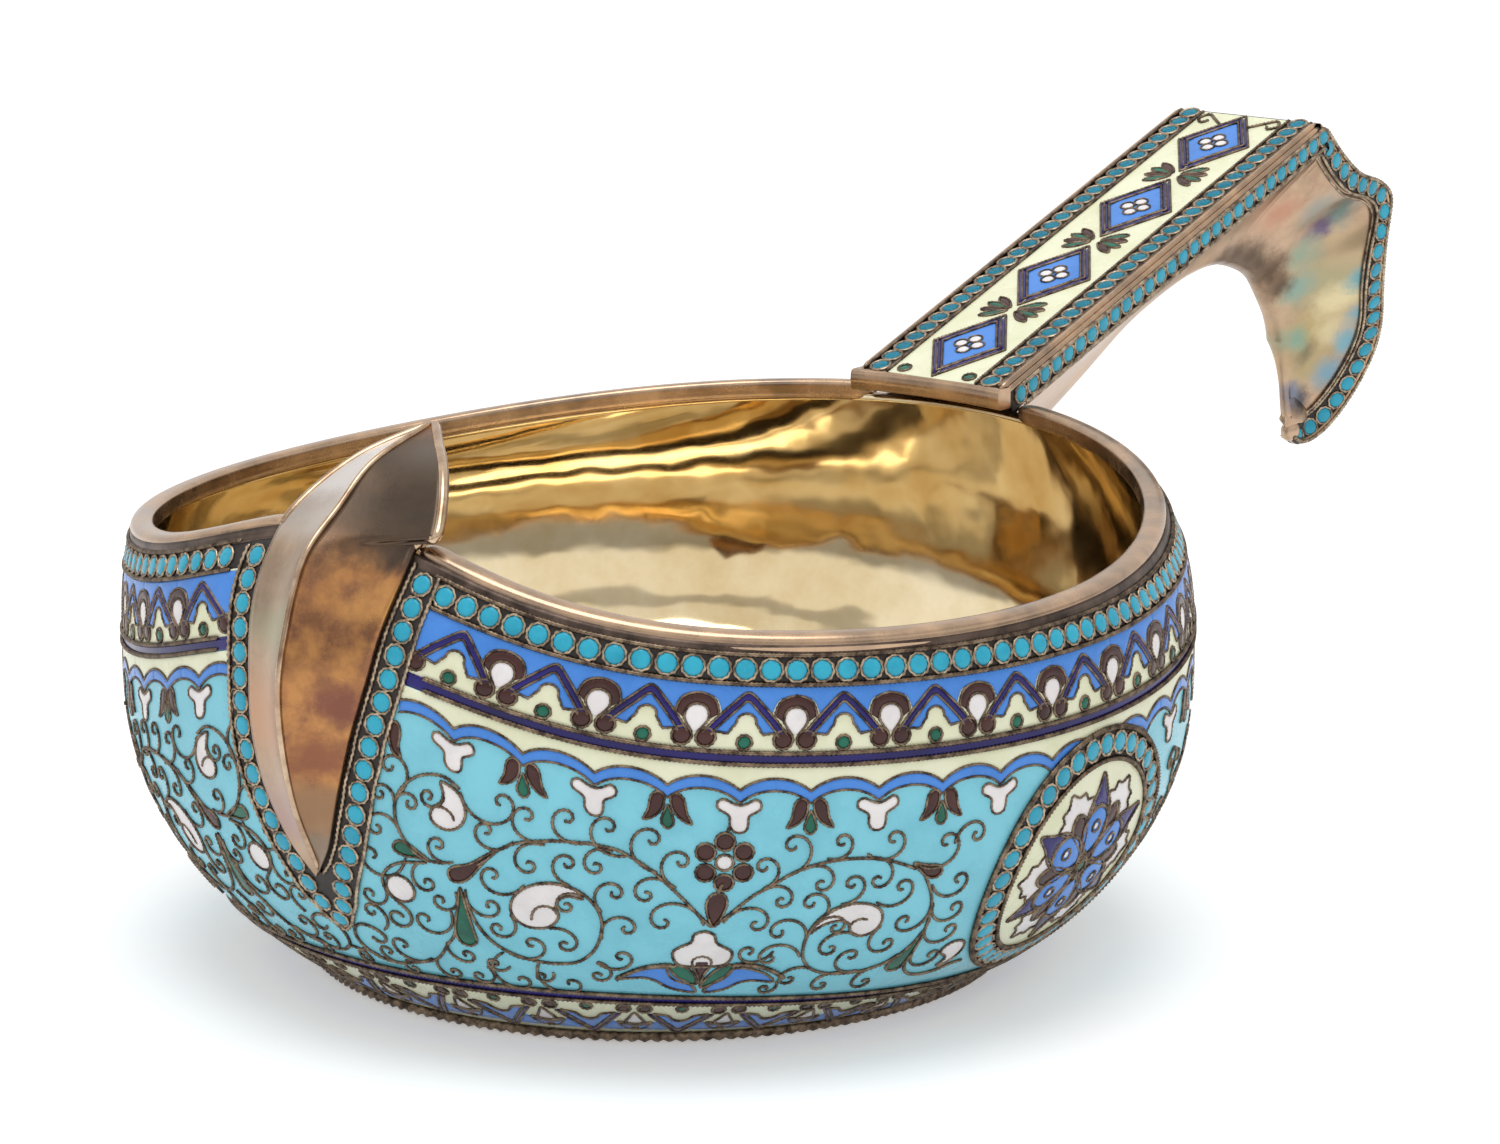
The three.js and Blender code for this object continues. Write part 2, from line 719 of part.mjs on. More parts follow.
// The twisted wires along both edges of the bead border
function addProwWires() {
  const top = borderTopHeight - beadBandTop - 2 * bandGap;
  const edges = {
    inner: [prowHalfAngle, prowFootHeight - bandGap, bandGap + wireRadius],
    outer: [borderHalfAngle, borderFootHeight, wireRadius],
  };
  for (const [name, [halfAngle, foot, clearance]] of Object.entries(edges)) {
    const spot = (u, aside, offset) => {
      const height = foot + (top - foot) * u * u;
      return hullOffset(halfAngle(height) + prowAngle(clearance - aside + seatGap / 2), height, offset);
    };
    addPair(`prow_border_${name}_wire`, wire(spot, curveSteps, false), darkSilver);
  }
}

// A point of the handle's side seen from the right. Its reach goes from 0 at the front to 1 at the
// crest and 2 at the far end, and its drop below the line of the top is a share of the hook's drop.
function handleSpot([reachShare, dropShare]) {
  const climb = Math.min(reachShare, 1);
  const beyond = reachShare - climb;
  const x = handleFrontReach + handleRun * climb + hookOverhang * beyond;
  return new THREE.Vector2(x, handleFrontHeight + handleRise * climb - hookDrop * dropShare);
}

// From the crest over the shoulder and down the outside of the hook to its tip
function hookOutline() {
  const shares = [[1.06, 0.027], [1.24, 0.104], [1.45, 0.171], [1.695, 0.211], [1.82, 0.265]];
  shares.push([1.78, 0.388], [1.83, 0.508], [1.966, 0.652], [2, 0.749], [1.948, 0.861]);
  shares.push([1.833, 0.936], [1.695, 0.989]);
  return new THREE.SplineCurve(shares.map(handleSpot));
}

// From the bowl along the handle's underside, round the arch and down the inside of the hook
function keelLine() {
  const shares = [[0.118, 0.368], [0.23, 0.331], [0.416, 0.286], [0.56, 0.249], [0.682, 0.246]];
  shares.push([0.786, 0.262], [0.882, 0.305], [0.969, 0.38], [1.126, 0.457], [1.322, 0.561]);
  shares.push([1.437, 0.655], [1.511, 0.77], [1.54, 0.869], [1.557, 0.93], [1.598, 0.971]);
  return new THREE.SplineCurve(shares.map(handleSpot));
}

// The handle's flat top, lowered square to itself, at a distance from its front
function topSpot(along, drop) {
  const slope = new THREE.Vector2(handleRun, handleRise);
  const length = slope.length();
  slope.divideScalar(length);
  const reach = handleFrontReach + slope.x * along * length + slope.y * drop;
  return new THREE.Vector2(reach, handleFrontHeight + slope.y * along * length - slope.x * drop);
}

function topLength() {
  return Math.hypot(handleRun, handleRise);
}

// Half the handle's width at a height: full along the arm, and less and less down to the tip
function handleHalfAt(height) {
  const taperStart = 0.35;
  const taper = 1.6;
  const drop = (handleFrontHeight + handleRise - height) / hookDrop;
  const share = Math.max(drop - taperStart, 0) / (1 - taperStart);
  return handleHalfWidth - (handleHalfWidth - hookTipHalfWidth) * share ** taper;
}

// How far the metal and the enamel are thinned where the tip gets narrow
function tipThinning(halfWidth) {
  return Math.min(halfWidth / (3 * handleSheet), 1);
}

const hookEdge = hookOutline();
const keel = keelLine();

// One section across the handle: its edge, its keel, how far it is along the hook, and its width.
// The first part of the sections lies along the arm, the rest along the hook.
function handleSection(share, root) {
  const hooked = Math.max(share - armShare, 0) / (1 - armShare);
  const along = Math.min(share / armShare, 1);
  const topDrop = 2 * handleMouldingRadius + seatGap;
  const edge = hooked > 0 ? hookEdge.getPoint(hooked) : topSpot(root + (1 - root) * along, topDrop);
  const keelShare = keelArmShare * along + (1 - keelArmShare) * hooked;
  const crease = keel.getPointAt(keelShare);
  const tangent = keel.getTangentAt(keelShare);
  const outward = new THREE.Vector2(tangent.y, -tangent.x);
  const halfWidth = hooked > 0 ? handleHalfAt(edge.y) : handleHalfWidth;
  const keelHalf = Math.min(keelRadius, keelTipRadius + keelSpread * halfWidth);
  const inner = crease.clone().sub(edge).normalize();
  const beadWidth = Math.min(hookBeadWidth, beadDepthShare * crease.distanceTo(edge));
  const border = hooked > 0
    ? edge.clone().addScaledVector(inner, beadWidth)
    : topSpot(root + (1 - root) * along, topDrop + sideBeadWidth);
  const borderHalf = halfWidth - sideLean * hooked * beadWidth;
  return { hooked, edge, border, crease, outward, inner, halfWidth, borderHalf, keelHalf };
}

// The right side of the handle, from the keel at v = 0 to the bead border and on to the edge
function sidePoint(section, v) {
  const { edge, border, crease, outward, halfWidth, borderHalf, keelHalf } = section;
  if (v >= borderShare) {
    const t = (v - borderShare) / (1 - borderShare);
    const spot = border.clone().lerp(edge, t);
    return new THREE.Vector3(spot.x, -(borderHalf + (halfWidth - borderHalf) * t), spot.y);
  }
  const t = v / borderShare;
  const foot = crease.clone().addScaledVector(outward, -seatGap);
  const spot = foot.lerp(border, t);
  const foothold = keelHalf + enamelThickness * tipThinning(halfWidth);
  const dish = sideDishShare * (borderHalf - foothold) * Math.sin(Math.PI * t);
  return new THREE.Vector3(spot.x, -(foothold + (borderHalf - foothold) * t - dish), spot.y);
}

// The side sunk square to itself by a depth that thins towards the tip
function sunkSide(u, v, depth, root) {
  const step = 0.001;
  const within = (share) => Math.min(Math.max(share, 0), 1);
  const spot = (share, height) => sidePoint(handleSection(within(share), root), within(height));
  const along = spot(u + step, v).sub(spot(u - step, v));
  const upward = spot(u, v + step).sub(spot(u, v - step));
  const normal = along.cross(upward).normalize();
  const thinned = depth * tipThinning(handleSection(u, root).halfWidth);
  return spot(u, v).addScaledVector(normal, -thinned);
}

// A flat piece of the handle: an outline of reach and height, given a width across it
function acrossHandle(outline, width, middle) {
  const geometry = new THREE.ExtrudeGeometry(new THREE.Shape(outline), {
    depth: width,
    bevelEnabled: false,
  });
  geometry.rotateX(Math.PI / 2);
  geometry.translate(0, middle + width / 2, 0);
  return merged(geometry);
}

function topPiece(frontGap, endGap, drop, thickness, width, middle) {
  const length = topLength();
  const low = drop + thickness;
  const outline = [topSpot(frontGap / length, drop), topSpot(frontGap / length, low)];
  outline.push(topSpot(1 - endGap / length, low), topSpot(1 - endGap / length, drop));
  return acrossHandle(outline, width, middle);
}

function addHandleTop() {
  const beadOuter = handleHalfWidth - 2 * handleMouldingRadius - seatGap;
  const beadInner = beadOuter - handleBeadWidth;
  const enamelHalf = beadInner - seatGap;
  const metalDrop = enamelThickness + seatGap;
  const metalHalf = handleHalfWidth - enamelThickness - sideGap - handleSheet - seatGap;
  const endGap = handleSheet + 2 * seatGap;
  const plate = topPiece(endGap, endGap, metalDrop, handleSheet, 2 * metalHalf, 0);
  addMesh('handle_top_plate', plate, silverGilt);
  const enamel = topPiece(seatGap, handleSheet, 0, enamelThickness, 2 * enamelHalf, 0);
  addMesh('handle_top_enamel', enamel, cream);
  const middle = -(beadOuter + beadInner) / 2;
  const row = topPiece(seatGap, handleSheet, 0, enamelThickness, handleBeadWidth, middle);
  addPair('handle_top_beads', row, beadEnamel);
  const spots = [topSpot(0, handleMouldingRadius), topSpot(1, handleMouldingRadius)];
  const side = -(handleHalfWidth - handleMouldingRadius);
  const ends = spots.map((spot) => new THREE.Vector3(spot.x, side, spot.y));
  addPair('handle_edge_moulding', bar(ends, handleMouldingRadius), palePolish);
}

function addHandleSides() {
  const root = (handleRimLap + handleRootGap) / topLength();
  const plate = slab((u, v, side) => {
    const { inner, hooked, halfWidth } = handleSection(u, root);
    const sunk = enamelThickness + sideGap + (side ? 0 : handleSheet);
    const point = sunkSide(u, v, sunk, root);
    const inset = (2 * handleSheet + seatGap) * tipThinning(halfWidth);
    const aside = hooked > 0 ? inset * Math.max(v - borderShare, 0) / (1 - borderShare) : 0;
    point.add(new THREE.Vector3(inner.x * aside, 0, inner.y * aside));
    point.y = Math.min(point.y, side ? -enamelThickness : -seatGap);
    return point;
  }, handleSteps, sideRows, false);
  addPair('handle_side_plate', plate, silverGilt);
  const border = slab((u, v, side) => {
    const { inner, hooked, halfWidth } = handleSection(u, 0);
    const point = sunkSide(u, borderShare + (1 - borderShare) * v, side ? 0 : enamelThickness, 0);
    const aside = hooked > 0 ? (handleSheet + enamelThickness) * v * tipThinning(halfWidth) : 0;
    return point.add(new THREE.Vector3(inner.x * aside, 0, inner.y * aside));
  }, handleSteps, 1, false);
  addPair('handle_side_beads', border, beadEnamel);
}

// The strips that close the handle between its side plates
function addHandleStrips() {
  const stripStart = 0.03;
  const endStrip = slab((u, v, side) => {
    const share = armShare + (1 - armShare) * Math.max(u, stripStart);
    const { edge, inner, halfWidth } = handleSection(share, 0);
    const depth = side ? 0 : handleSheet * tipThinning(halfWidth);
    const spot = edge.clone().addScaledVector(inner, depth);
    return new THREE.Vector3(spot.x, halfWidth * (2 * v - 1), spot.y);
  }, stripColumns, 1, false);
  addMesh('handle_end_strip', endStrip, silverGilt);
  const underStrip = slab((u, v, side) => {
    const { crease, outward, halfWidth, keelHalf } = handleSection(u, 0);
    const sheet = handleSheet * tipThinning(halfWidth) * keelHalf / keelRadius;
    const radius = side ? keelHalf : keelHalf - sheet;
    const turn = Math.PI * (v - 1 / 2);
    const spot = crease.clone().addScaledVector(outward, radius * Math.cos(turn));
    return new THREE.Vector3(spot.x, -radius * Math.sin(turn), spot.y);
  }, handleSteps, keelRows, false);
  addMesh('handle_under_strip', underStrip, silverGilt);
  const width = 2 * (handleHalfWidth - enamelThickness - handleSheet - 2 * seatGap);
  const bottom = handleFrontHeight - handleFrontDepth;
  const topDrop = enamelThickness + handleSheet + 2 * seatGap;
  const seatEnd = handleRimLap / topLength();
  const front = [new THREE.Vector2(handleFrontReach, bottom)];
  front.push(new THREE.Vector2(topSpot(seatEnd, topDrop).x, bottom));
  front.push(topSpot(seatEnd, topDrop), topSpot(0, topDrop));
  front.push(new THREE.Vector2(handleFrontReach, topSpot(0, topDrop).y));
  addMesh('handle_front_strip', acrossHandle(front, width, 0), palePolish);
}

addBowl();
addBands();
addFields();
addMedallions();
addBandWires();
addRimMouldings();
addProw();
addHandleTop();
addHandleSides();
addHandleStrips();

export default group;
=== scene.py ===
"""Looks of the silver-gilt kovsh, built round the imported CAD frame. Lengths inside are millimetres."""
import math
from collections import namedtuple

import bpy
import numpy as np
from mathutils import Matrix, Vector, geometry


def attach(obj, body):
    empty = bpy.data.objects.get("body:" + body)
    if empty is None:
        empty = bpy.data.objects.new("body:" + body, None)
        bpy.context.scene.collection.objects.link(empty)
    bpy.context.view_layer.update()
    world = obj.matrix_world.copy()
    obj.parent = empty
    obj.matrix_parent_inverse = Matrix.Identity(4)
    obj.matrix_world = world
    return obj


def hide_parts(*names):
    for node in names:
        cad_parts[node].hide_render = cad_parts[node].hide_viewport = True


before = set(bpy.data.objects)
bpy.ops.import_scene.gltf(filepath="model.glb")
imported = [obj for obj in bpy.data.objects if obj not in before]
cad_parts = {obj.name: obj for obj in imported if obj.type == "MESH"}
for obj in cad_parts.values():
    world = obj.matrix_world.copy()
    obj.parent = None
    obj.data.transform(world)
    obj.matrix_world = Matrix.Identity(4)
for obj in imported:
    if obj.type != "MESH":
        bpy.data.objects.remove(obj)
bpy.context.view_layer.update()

MM = 0.001
PER_METRE = 1000.0

# Camera, as in the photograph
AZIMUTH = math.radians(-52.424)
ELEVATION = math.radians(13.128)
DISTANCE = 515.635
FOCAL_PIXELS = 5591.315
PHOTO_WIDTH = 1500
SENSOR = 36.0
NEAREST = 0.01
TARGET = Vector((4.442, -7.416, 35.285))

camera_data = bpy.data.cameras.new("camera")
camera = bpy.data.objects.new("camera", camera_data)
bpy.context.scene.collection.objects.link(camera)
backward = Vector((math.sin(AZIMUTH) * math.cos(ELEVATION), -math.cos(AZIMUTH) * math.cos(ELEVATION),
                   math.sin(ELEVATION)))
camera.location = (TARGET + backward * DISTANCE) * MM
camera.rotation_euler = backward.to_track_quat("Z", "Y").to_euler()
camera_data.sensor_width = SENSOR
camera_data.lens = FOCAL_PIXELS * SENSOR / PHOTO_WIDTH
camera_data.clip_start = NEAREST
bpy.context.scene.camera = camera

# The bowl's surface, as in part.mjs
FOOT = 30.3
WIDEST_Z, WIDEST_X, WIDEST_Y = 27.9, 48.2, 50.0
BELLY_POWER, FULLNESS_POWER, LEAN_POWER = 2.36, 0.85, 3.6
RIM_X, RIM_Y = 46.5, 47.9
RIM_LEVEL, RIM_TILT, RIM_SADDLE = 41.2, 1.7, 1.5
PROW_RISE, PROW_RISE_DEGREES = 6.3, 25
RIM_CORNERS, PROW_POINT, PROW_POINT_DEGREES = 0.95, 2.9, 15
SIDE_DIP = 0.375
BEAD_LOW = 3.5
CHEVRON_LOW, COBALT_LOW = 9.4, 10.6
LINE_TOP, LINE_LOW, BORDER_LOW, BORDER_GROUND_LOW = 7.2, 6.2, 1.7, 0.9

# Drawings round the bowl are flat: x runs from the prow to the handle, at this radius
REF = 48.0
HALF_TURN = math.pi * REF
LOWER_DRAWN_HEIGHT = 6.7
SIDE_MIDDLE = 23.47

# The handle's top, as in part.mjs
ARM_RUN, ARM_RISE = 57.5, 19.5
TOP_LENGTH = math.hypot(ARM_RUN, ARM_RISE)
TOP_FRONT = np.array([42.8, 0, 46.5])
TOP_ALONG = np.array([ARM_RUN, 0, ARM_RISE]) / TOP_LENGTH
TOP_UP = np.array([-TOP_ALONG[2], 0, TOP_ALONG[0]])


def swell(angle, degrees):
    """One at the prow, fading away over some degrees."""
    wrapped = np.arctan2(np.sin(angle), np.cos(angle))
    return np.exp(-(wrapped / math.radians(degrees)) ** 2)


def rim(angle):
    """The rim's height at an angle from the prow."""
    return (RIM_LEVEL - RIM_TILT * np.cos(angle) + RIM_SADDLE * np.cos(2 * angle)
            + PROW_RISE * swell(angle, PROW_RISE_DEGREES))


def rim_plan(angle, inset=0.0):
    """The rim's outline from above."""
    change = RIM_CORNERS * np.cos(3 * angle) + PROW_POINT * swell(angle, PROW_POINT_DEGREES) + inset
    return -(RIM_X - change) * np.cos(angle), -(RIM_Y - change) * np.sin(angle)


def hull(angle, z):
    """The bowl's outside at an angle from the prow and a height."""
    climb = 1 - (1 - np.clip(z, 0, WIDEST_Z) / WIDEST_Z) ** BELLY_POWER
    full = climb ** FULLNESS_POWER
    x = -(FOOT + (WIDEST_X - FOOT) * full) * np.cos(angle)
    y = -(FOOT + (WIDEST_Y - FOOT) * full) * np.sin(angle)
    lean = np.clip((z - WIDEST_Z) / (rim(angle) - WIDEST_Z), 0, None) ** LEAN_POWER
    rim_x, rim_y = rim_plan(angle)
    return np.stack([x + (rim_x - x) * lean, y + (rim_y - y) * lean, z + 0 * x], -1)


def unit(vectors):
    return vectors / np.maximum(np.linalg.norm(vectors, axis=-1, keepdims=True), 1e-9)


def lengths(path):
    """The length along a path up to each of its points."""
    return np.concatenate([[0], np.cumsum(np.linalg.norm(np.diff(path, axis=0), axis=1))])


def skin(angle, z, offset=0.0):
    """Places off the bowl's outside, along its normals."""
    turn = 0.01
    rise = WIDEST_Z * turn
    angle, z = np.broadcast_arrays(np.asarray(angle, float), np.asarray(z, float))
    low = np.maximum(z - rise, 0)
    across = hull(angle + turn, z) - hull(angle - turn, z)
    normal = unit(np.cross(across, hull(angle, low + 2 * rise) - hull(angle, low)))
    return hull(angle, z) + normal * (np.zeros(z.shape) + offset)[..., None]


# Heights by length along the surface, measured up from the foot, for each degree round the bowl
TABLE_STEPS, LEVEL_COUNT = 240, 600
total_length, height_table = [], []
for table_angle in np.radians(np.arange(-180.0, 181.0)):
    levels = np.linspace(0, 1, LEVEL_COUNT) ** 1.5 * rim(table_angle)
    reached = lengths(hull(np.full(LEVEL_COUNT, table_angle), levels))
    total_length.append(reached[-1])
    height_table.append(np.interp(np.linspace(0, reached[-1], TABLE_STEPS + 1), reached, levels))
total_length, height_table = np.array(total_length), np.array(height_table)


def height_at(angle, length):
    place = np.degrees(np.arctan2(np.sin(angle), np.cos(angle))) + 180
    i = np.clip(place.astype(int), 0, 359)
    f = place - i
    total = total_length[i] * (1 - f) + total_length[i + 1] * f
    u = np.clip(length / total, 0, 1) * TABLE_STEPS
    k = np.clip(u.astype(int), 0, TABLE_STEPS - 1)
    g = u - k
    low = height_table[i, k] * (1 - f) + height_table[i + 1, k] * f
    high = height_table[i, k + 1] * (1 - f) + height_table[i + 1, k + 1] * f
    return low * (1 - g) + high * g


def dip(angle):
    """How much of their height the lower bands keep: less at the bowl's two sides."""
    return 1 - SIDE_DIP * np.sin(angle) ** 4


# Flat drawings are laid on the object by these: x and y in millimetres, h off the surface
def under_rim(x, y, h):
    return skin(x / REF, rim(x / REF) + y, h)


def on_field(x, y, h):
    return skin(x / REF, height_at(x / REF, y), h)


def on_rear(x, y, h):
    return on_field(HALF_TURN - np.asarray(x), y, h)


def on_lower(x, y, h):
    low, high = BORDER_LOW * dip(x / REF), LINE_LOW * dip(x / REF)
    return skin(x / REF, low + (high - low) * (1 + y / LOWER_DRAWN_HEIGHT), h)


def on_medallion(x, y, h):
    side = np.full(np.shape(x), math.pi / 2)
    return skin(side + x / WIDEST_Y, height_at(side, SIDE_MIDDLE + y), h)


def on_top(x, y, h):
    x, y, h = np.broadcast_arrays(x, y, h)
    across = np.array([0, 1.0, 0])
    return TOP_FRONT + x[..., None] * TOP_ALONG + y[..., None] * across + h[..., None] * TOP_UP


# Meshes
class Piece:
    """Collects points and faces for one named object."""

    def __init__(self, name, *materials):
        self.name, self.materials = name, materials
        self.points, self.faces, self.slots, self.count = [], [], [], 0

    def add(self, points, faces):
        points = np.asarray(points, float).reshape(-1, 3)
        self.points.append(points)
        self.count += len(points)
        self.add_faces(faces, self.count - len(points))

    def add_faces(self, faces, start, slot=0):
        """Faces over points that are there already, numbered from start."""
        faces = np.asarray(faces, int)
        self.faces.append(faces + start)
        self.slots.append(np.full(len(faces), slot))

    def mirror(self):
        """The same again on the other side of the bowl."""
        shift = self.count
        self.points += [points * (1, -1, 1) for points in self.points]
        self.faces += [faces[:, ::-1] + shift for faces in self.faces]
        self.slots += list(self.slots)
        self.count *= 2
        return self

    def make(self, replaces=()):
        """The object itself, in place of the CAD solids that are named."""
        mesh = bpy.data.meshes.new(self.name)
        points = np.concatenate(self.points) * MM
        sizes = np.concatenate([np.full(len(faces), faces.shape[1]) for faces in self.faces])
        corners = np.concatenate([faces.ravel() for faces in self.faces])
        mesh.vertices.add(len(points))
        mesh.vertices.foreach_set("co", points.ravel())
        mesh.loops.add(len(corners))
        mesh.loops.foreach_set("vertex_index", corners)
        mesh.polygons.add(len(sizes))
        mesh.polygons.foreach_set("loop_start", np.concatenate([[0], np.cumsum(sizes)[:-1]]))
        mesh.polygons.foreach_set("material_index", np.concatenate(self.slots))
        mesh.polygons.foreach_set("use_smooth", np.full(len(sizes), True))
        mesh.update(calc_edges=True)
        mesh.validate()
        for item in self.materials:
            mesh.materials.append(item)
        obj = bpy.data.objects.new(self.name, mesh)
        bpy.context.scene.collection.objects.link(obj)
        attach(obj, "root")
        if replaces:
            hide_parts(*replaces)


def grid_faces(rows, columns, round_columns=False, round_rows=False):
    """Quads over a grid of points, which may close on itself either way."""
    r = np.arange(rows if round_rows else rows - 1)
    c = np.arange(columns if round_columns else columns - 1)
    r, c = (part.ravel() for part in np.meshgrid(r, c, indexing="ij"))
    r2, c2 = (r + 1) % rows, (c + 1) % columns
    return np.stack([r * columns + c, r * columns + c2, r2 * columns + c2, r2 * columns + c], -1)


def add_sheet(piece, front, back, flip=False):
    """A thin sheet: two grids of points joined into one skin."""
    loop = np.concatenate([front, back[:, ::-1]], 1)
    faces = grid_faces(len(loop), loop.shape[1], True)
    piece.add(loop, faces[:, ::-1] if flip else faces)


def smooth(points, step=0.25, closed=False):
    """A Catmull-Rom curve through points, sampled about every step."""
    points = np.asarray(points, float)
    if closed:
        padded = np.concatenate([points[-1:], points, points[:2]])
    else:
        padded = np.concatenate([2 * points[:1] - points[1:2], points, 2 * points[-1:] - points[-2:-1]])
    out = []
    for i in range(1, len(padded) - 2):
        a, b, c, d = padded[i - 1:i + 3]
        count = max(2, int(np.linalg.norm(c - b) / step))
        t = (np.arange(count) / count)[:, None]
        out.append(0.5 * (2 * b + (c - a) * t + (2 * a - 5 * b + 4 * c - d) * t * t
                          + (3 * b - a - 3 * c + d) * t ** 3))
    if not closed:
        out.append(points[-1:])
    return np.concatenate(out)


def resample(path, step, closed=False):
    """The path at even steps, and how far along it each of them lies."""
    if closed:
        path = np.concatenate([path, path[:1]])
    reached = lengths(path)
    count = max(4, int(round(reached[-1] / step)))
    marks = np.linspace(0, reached[-1], count + 1)
    if closed:
        marks = marks[:-1]
    return np.stack([np.interp(marks, reached, path[:, k]) for k in range(path.shape[1])], -1), marks


def rod(piece, path, normals, radius, ridge=0.0, pitch=0.42, step=0.14, sides=6, closed=False):
    """A wire along path; a ridge above zero twists it like two strands."""
    both, marks = resample(np.concatenate([path, normals], 1), step, closed)
    points, up = both[:, :3], unit(both[:, 3:])
    if closed:
        along = np.roll(points, -1, 0) - np.roll(points, 1, 0)
        pitch = marks[-1] / max(1, round(marks[-1] / pitch))
    else:
        along = np.gradient(points, axis=0)
    side = unit(np.cross(unit(along), up))
    up = unit(np.cross(side, unit(along)))
    turn = 2 * math.pi * np.arange(sides) / sides
    size = radius * (1 + ridge * np.cos(2 * (turn[None] - math.pi * marks[:, None] / pitch)))
    if not closed:
        size[[0, -1]] *= 0.5
    ring = (points[:, None] + side[:, None] * (size * np.cos(turn))[..., None]
            + up[:, None] * (size * np.sin(turn))[..., None])
    piece.add(ring, grid_faces(len(points), sides, True, closed))
    if not closed:
        first = np.arange(sides)[::-1]
        piece.add_faces([first], piece.count - len(points) * sides)
        piece.add_faces([first[::-1]], piece.count - sides)


def level_line(x, y):
    """A flat path at one height."""
    return np.stack([x, 0 * x + y], -1)


def laid(place, path, lift):
    """A flat path laid on a surface, with the surface's normals."""
    points = place(path[:, 0], path[:, 1], lift)
    return points, place(path[:, 0], path[:, 1], lift + 1.0) - points


LIFT_SHARE, WIRE_RIDGE = 0.6, 0.28
FINE_WIRE, CELL_WIRE = 0.11, 0.12
DRAWING_STEP = 0.3


def wire(piece, place, points, radius, closed=False, curved=True, shifts=(0.0,), lift=None):
    """A twisted wire over a flat drawing, once for each shift along x."""
    path = smooth(points, DRAWING_STEP, closed) if curved else np.asarray(points, float)
    for shift in shifts:
        where, normals = laid(place, path + (shift, 0), radius * LIFT_SHARE if lift is None else lift)
        rod(piece, where, normals, radius, WIRE_RIDGE, closed=closed)


FILL_STEP, FILL_ROW_SHARE = 0.6, 0.87
RING_DEPTHS, RING_ROOM_SHARE, INNER_ROOM_SHARE = (0.12, 0.3), 0.85, 0.4


def fill(outline):
    """Triangles inside a flat outline, and each point's distance from it."""
    outline = np.asarray(outline, float)
    low, high = outline.min(0), outline.max(0)
    xs = np.arange(low[0], high[0], FILL_STEP)
    ys = np.arange(low[1], high[1], FILL_STEP * FILL_ROW_SHARE)
    inner = np.array([(x + FILL_STEP / 2 * (row % 2), y) for row, y in enumerate(ys) for x in xs])
    a, b = outline, np.roll(outline, -1, 0)

    def measure(points):
        p = points[:, None] - a
        ab = b - a
        t = np.clip((p * ab).sum(-1) / np.maximum((ab * ab).sum(-1), 1e-12), 0, 1)
        far = np.linalg.norm(p - t[..., None] * ab, axis=-1).min(1)
        crossing = (a[:, 1] > points[:, None, 1]) != (b[:, 1] > points[:, None, 1])
        rise = np.where(np.abs(ab[:, 1]) < 1e-12, 1e-12, ab[:, 1])
        where = a[:, 0] + (points[:, None, 1] - a[:, 1]) / rise * ab[:, 0]
        inside = (crossing & (points[:, None, 0] < where)).sum(1) % 2 == 1
        return far, inside

    along = unit(np.roll(outline, -1, 0) - np.roll(outline, 1, 0))
    turned = np.stack([-along[:, 1], along[:, 0]], -1)
    area = (a[:, 0] * b[:, 1] - a[:, 1] * b[:, 0]).sum()
    turned *= 1 if area > 0 else -1
    extra = []
    for depth in RING_DEPTHS:
        ring = outline + turned * depth
        far, inside = measure(ring)
        extra.append(ring[inside & (far > depth * RING_ROOM_SHARE)])
    if len(inner):
        far, inside = measure(inner)
        extra.append(inner[inside & (far > RING_DEPTHS[-1] + FILL_STEP * INNER_ROOM_SHARE)])
    points = np.concatenate([outline] + extra)
    edges = [(i, (i + 1) % len(outline)) for i in range(len(outline))]
    found = geometry.delaunay_2d_cdt([Vector(p) for p in points], edges, [list(range(len(outline)))], 1, 1e-5)
    flat = np.array([tuple(v) for v in found[0]])
    faces = np.array([f for f in found[2] if len(f) == 3])
    far, _ = measure(flat)
    p, q, r = (flat[faces[:, k]] for k in range(3))
    turning = (q - p)[:, 0] * (r - p)[:, 1] - (q - p)[:, 1] * (r - p)[:, 0]
    faces[turning < 0] = faces[turning < 0][:, ::-1]
    return flat, faces, far


CELL_SINK, CELL_ROUNDING = 0.04, 0.1


def cell(piece, place, outline, shifts=(0.0,), high=0.1, curved=True, flip=False):
    """A pad of enamel inside a flat outline, sunk at its edge."""
    if curved:
        outline = smooth(outline, DRAWING_STEP, True)
    flat, faces, far = fill(outline)
    rise = -CELL_SINK + (high + CELL_SINK) * (1 - np.exp(-far / CELL_ROUNDING))
    if flip:
        faces = faces[:, ::-1]
    for shift in shifts:
        piece.add(place(flat[:, 0] + shift, flat[:, 1], rise), faces)


def walled_cell(cells, wires, place, outline, radius=FINE_WIRE, shifts=(0.0,), high=0.1, lift=None, flip=False):
    """A pad of enamel with a wire round it."""
    cell(cells, place, outline, shifts, high, flip=flip)
    wire(wires, place, outline, radius, closed=True, shifts=shifts, lift=lift)


def circle(x, y, radius, count=20):
    turn = 2 * math.pi * np.arange(count) / count
    return np.stack([x + radius * np.cos(turn), y + radius * np.sin(turn)], -1)


def dot(cells, wires, place, x, y, size, gap=0.08, sides=14, more=2, radius=CELL_WIRE, shifts=(0.0,),
        high=0.1, lift=None, curved=False):
    """A round pad of enamel with a wire round it, drawn with some more sides."""
    cell(cells, place, circle(x, y, size, sides), shifts, high, curved)
    wire(wires, place, circle(x, y, size + gap, sides + more), radius, True, curved, shifts, lift=lift)


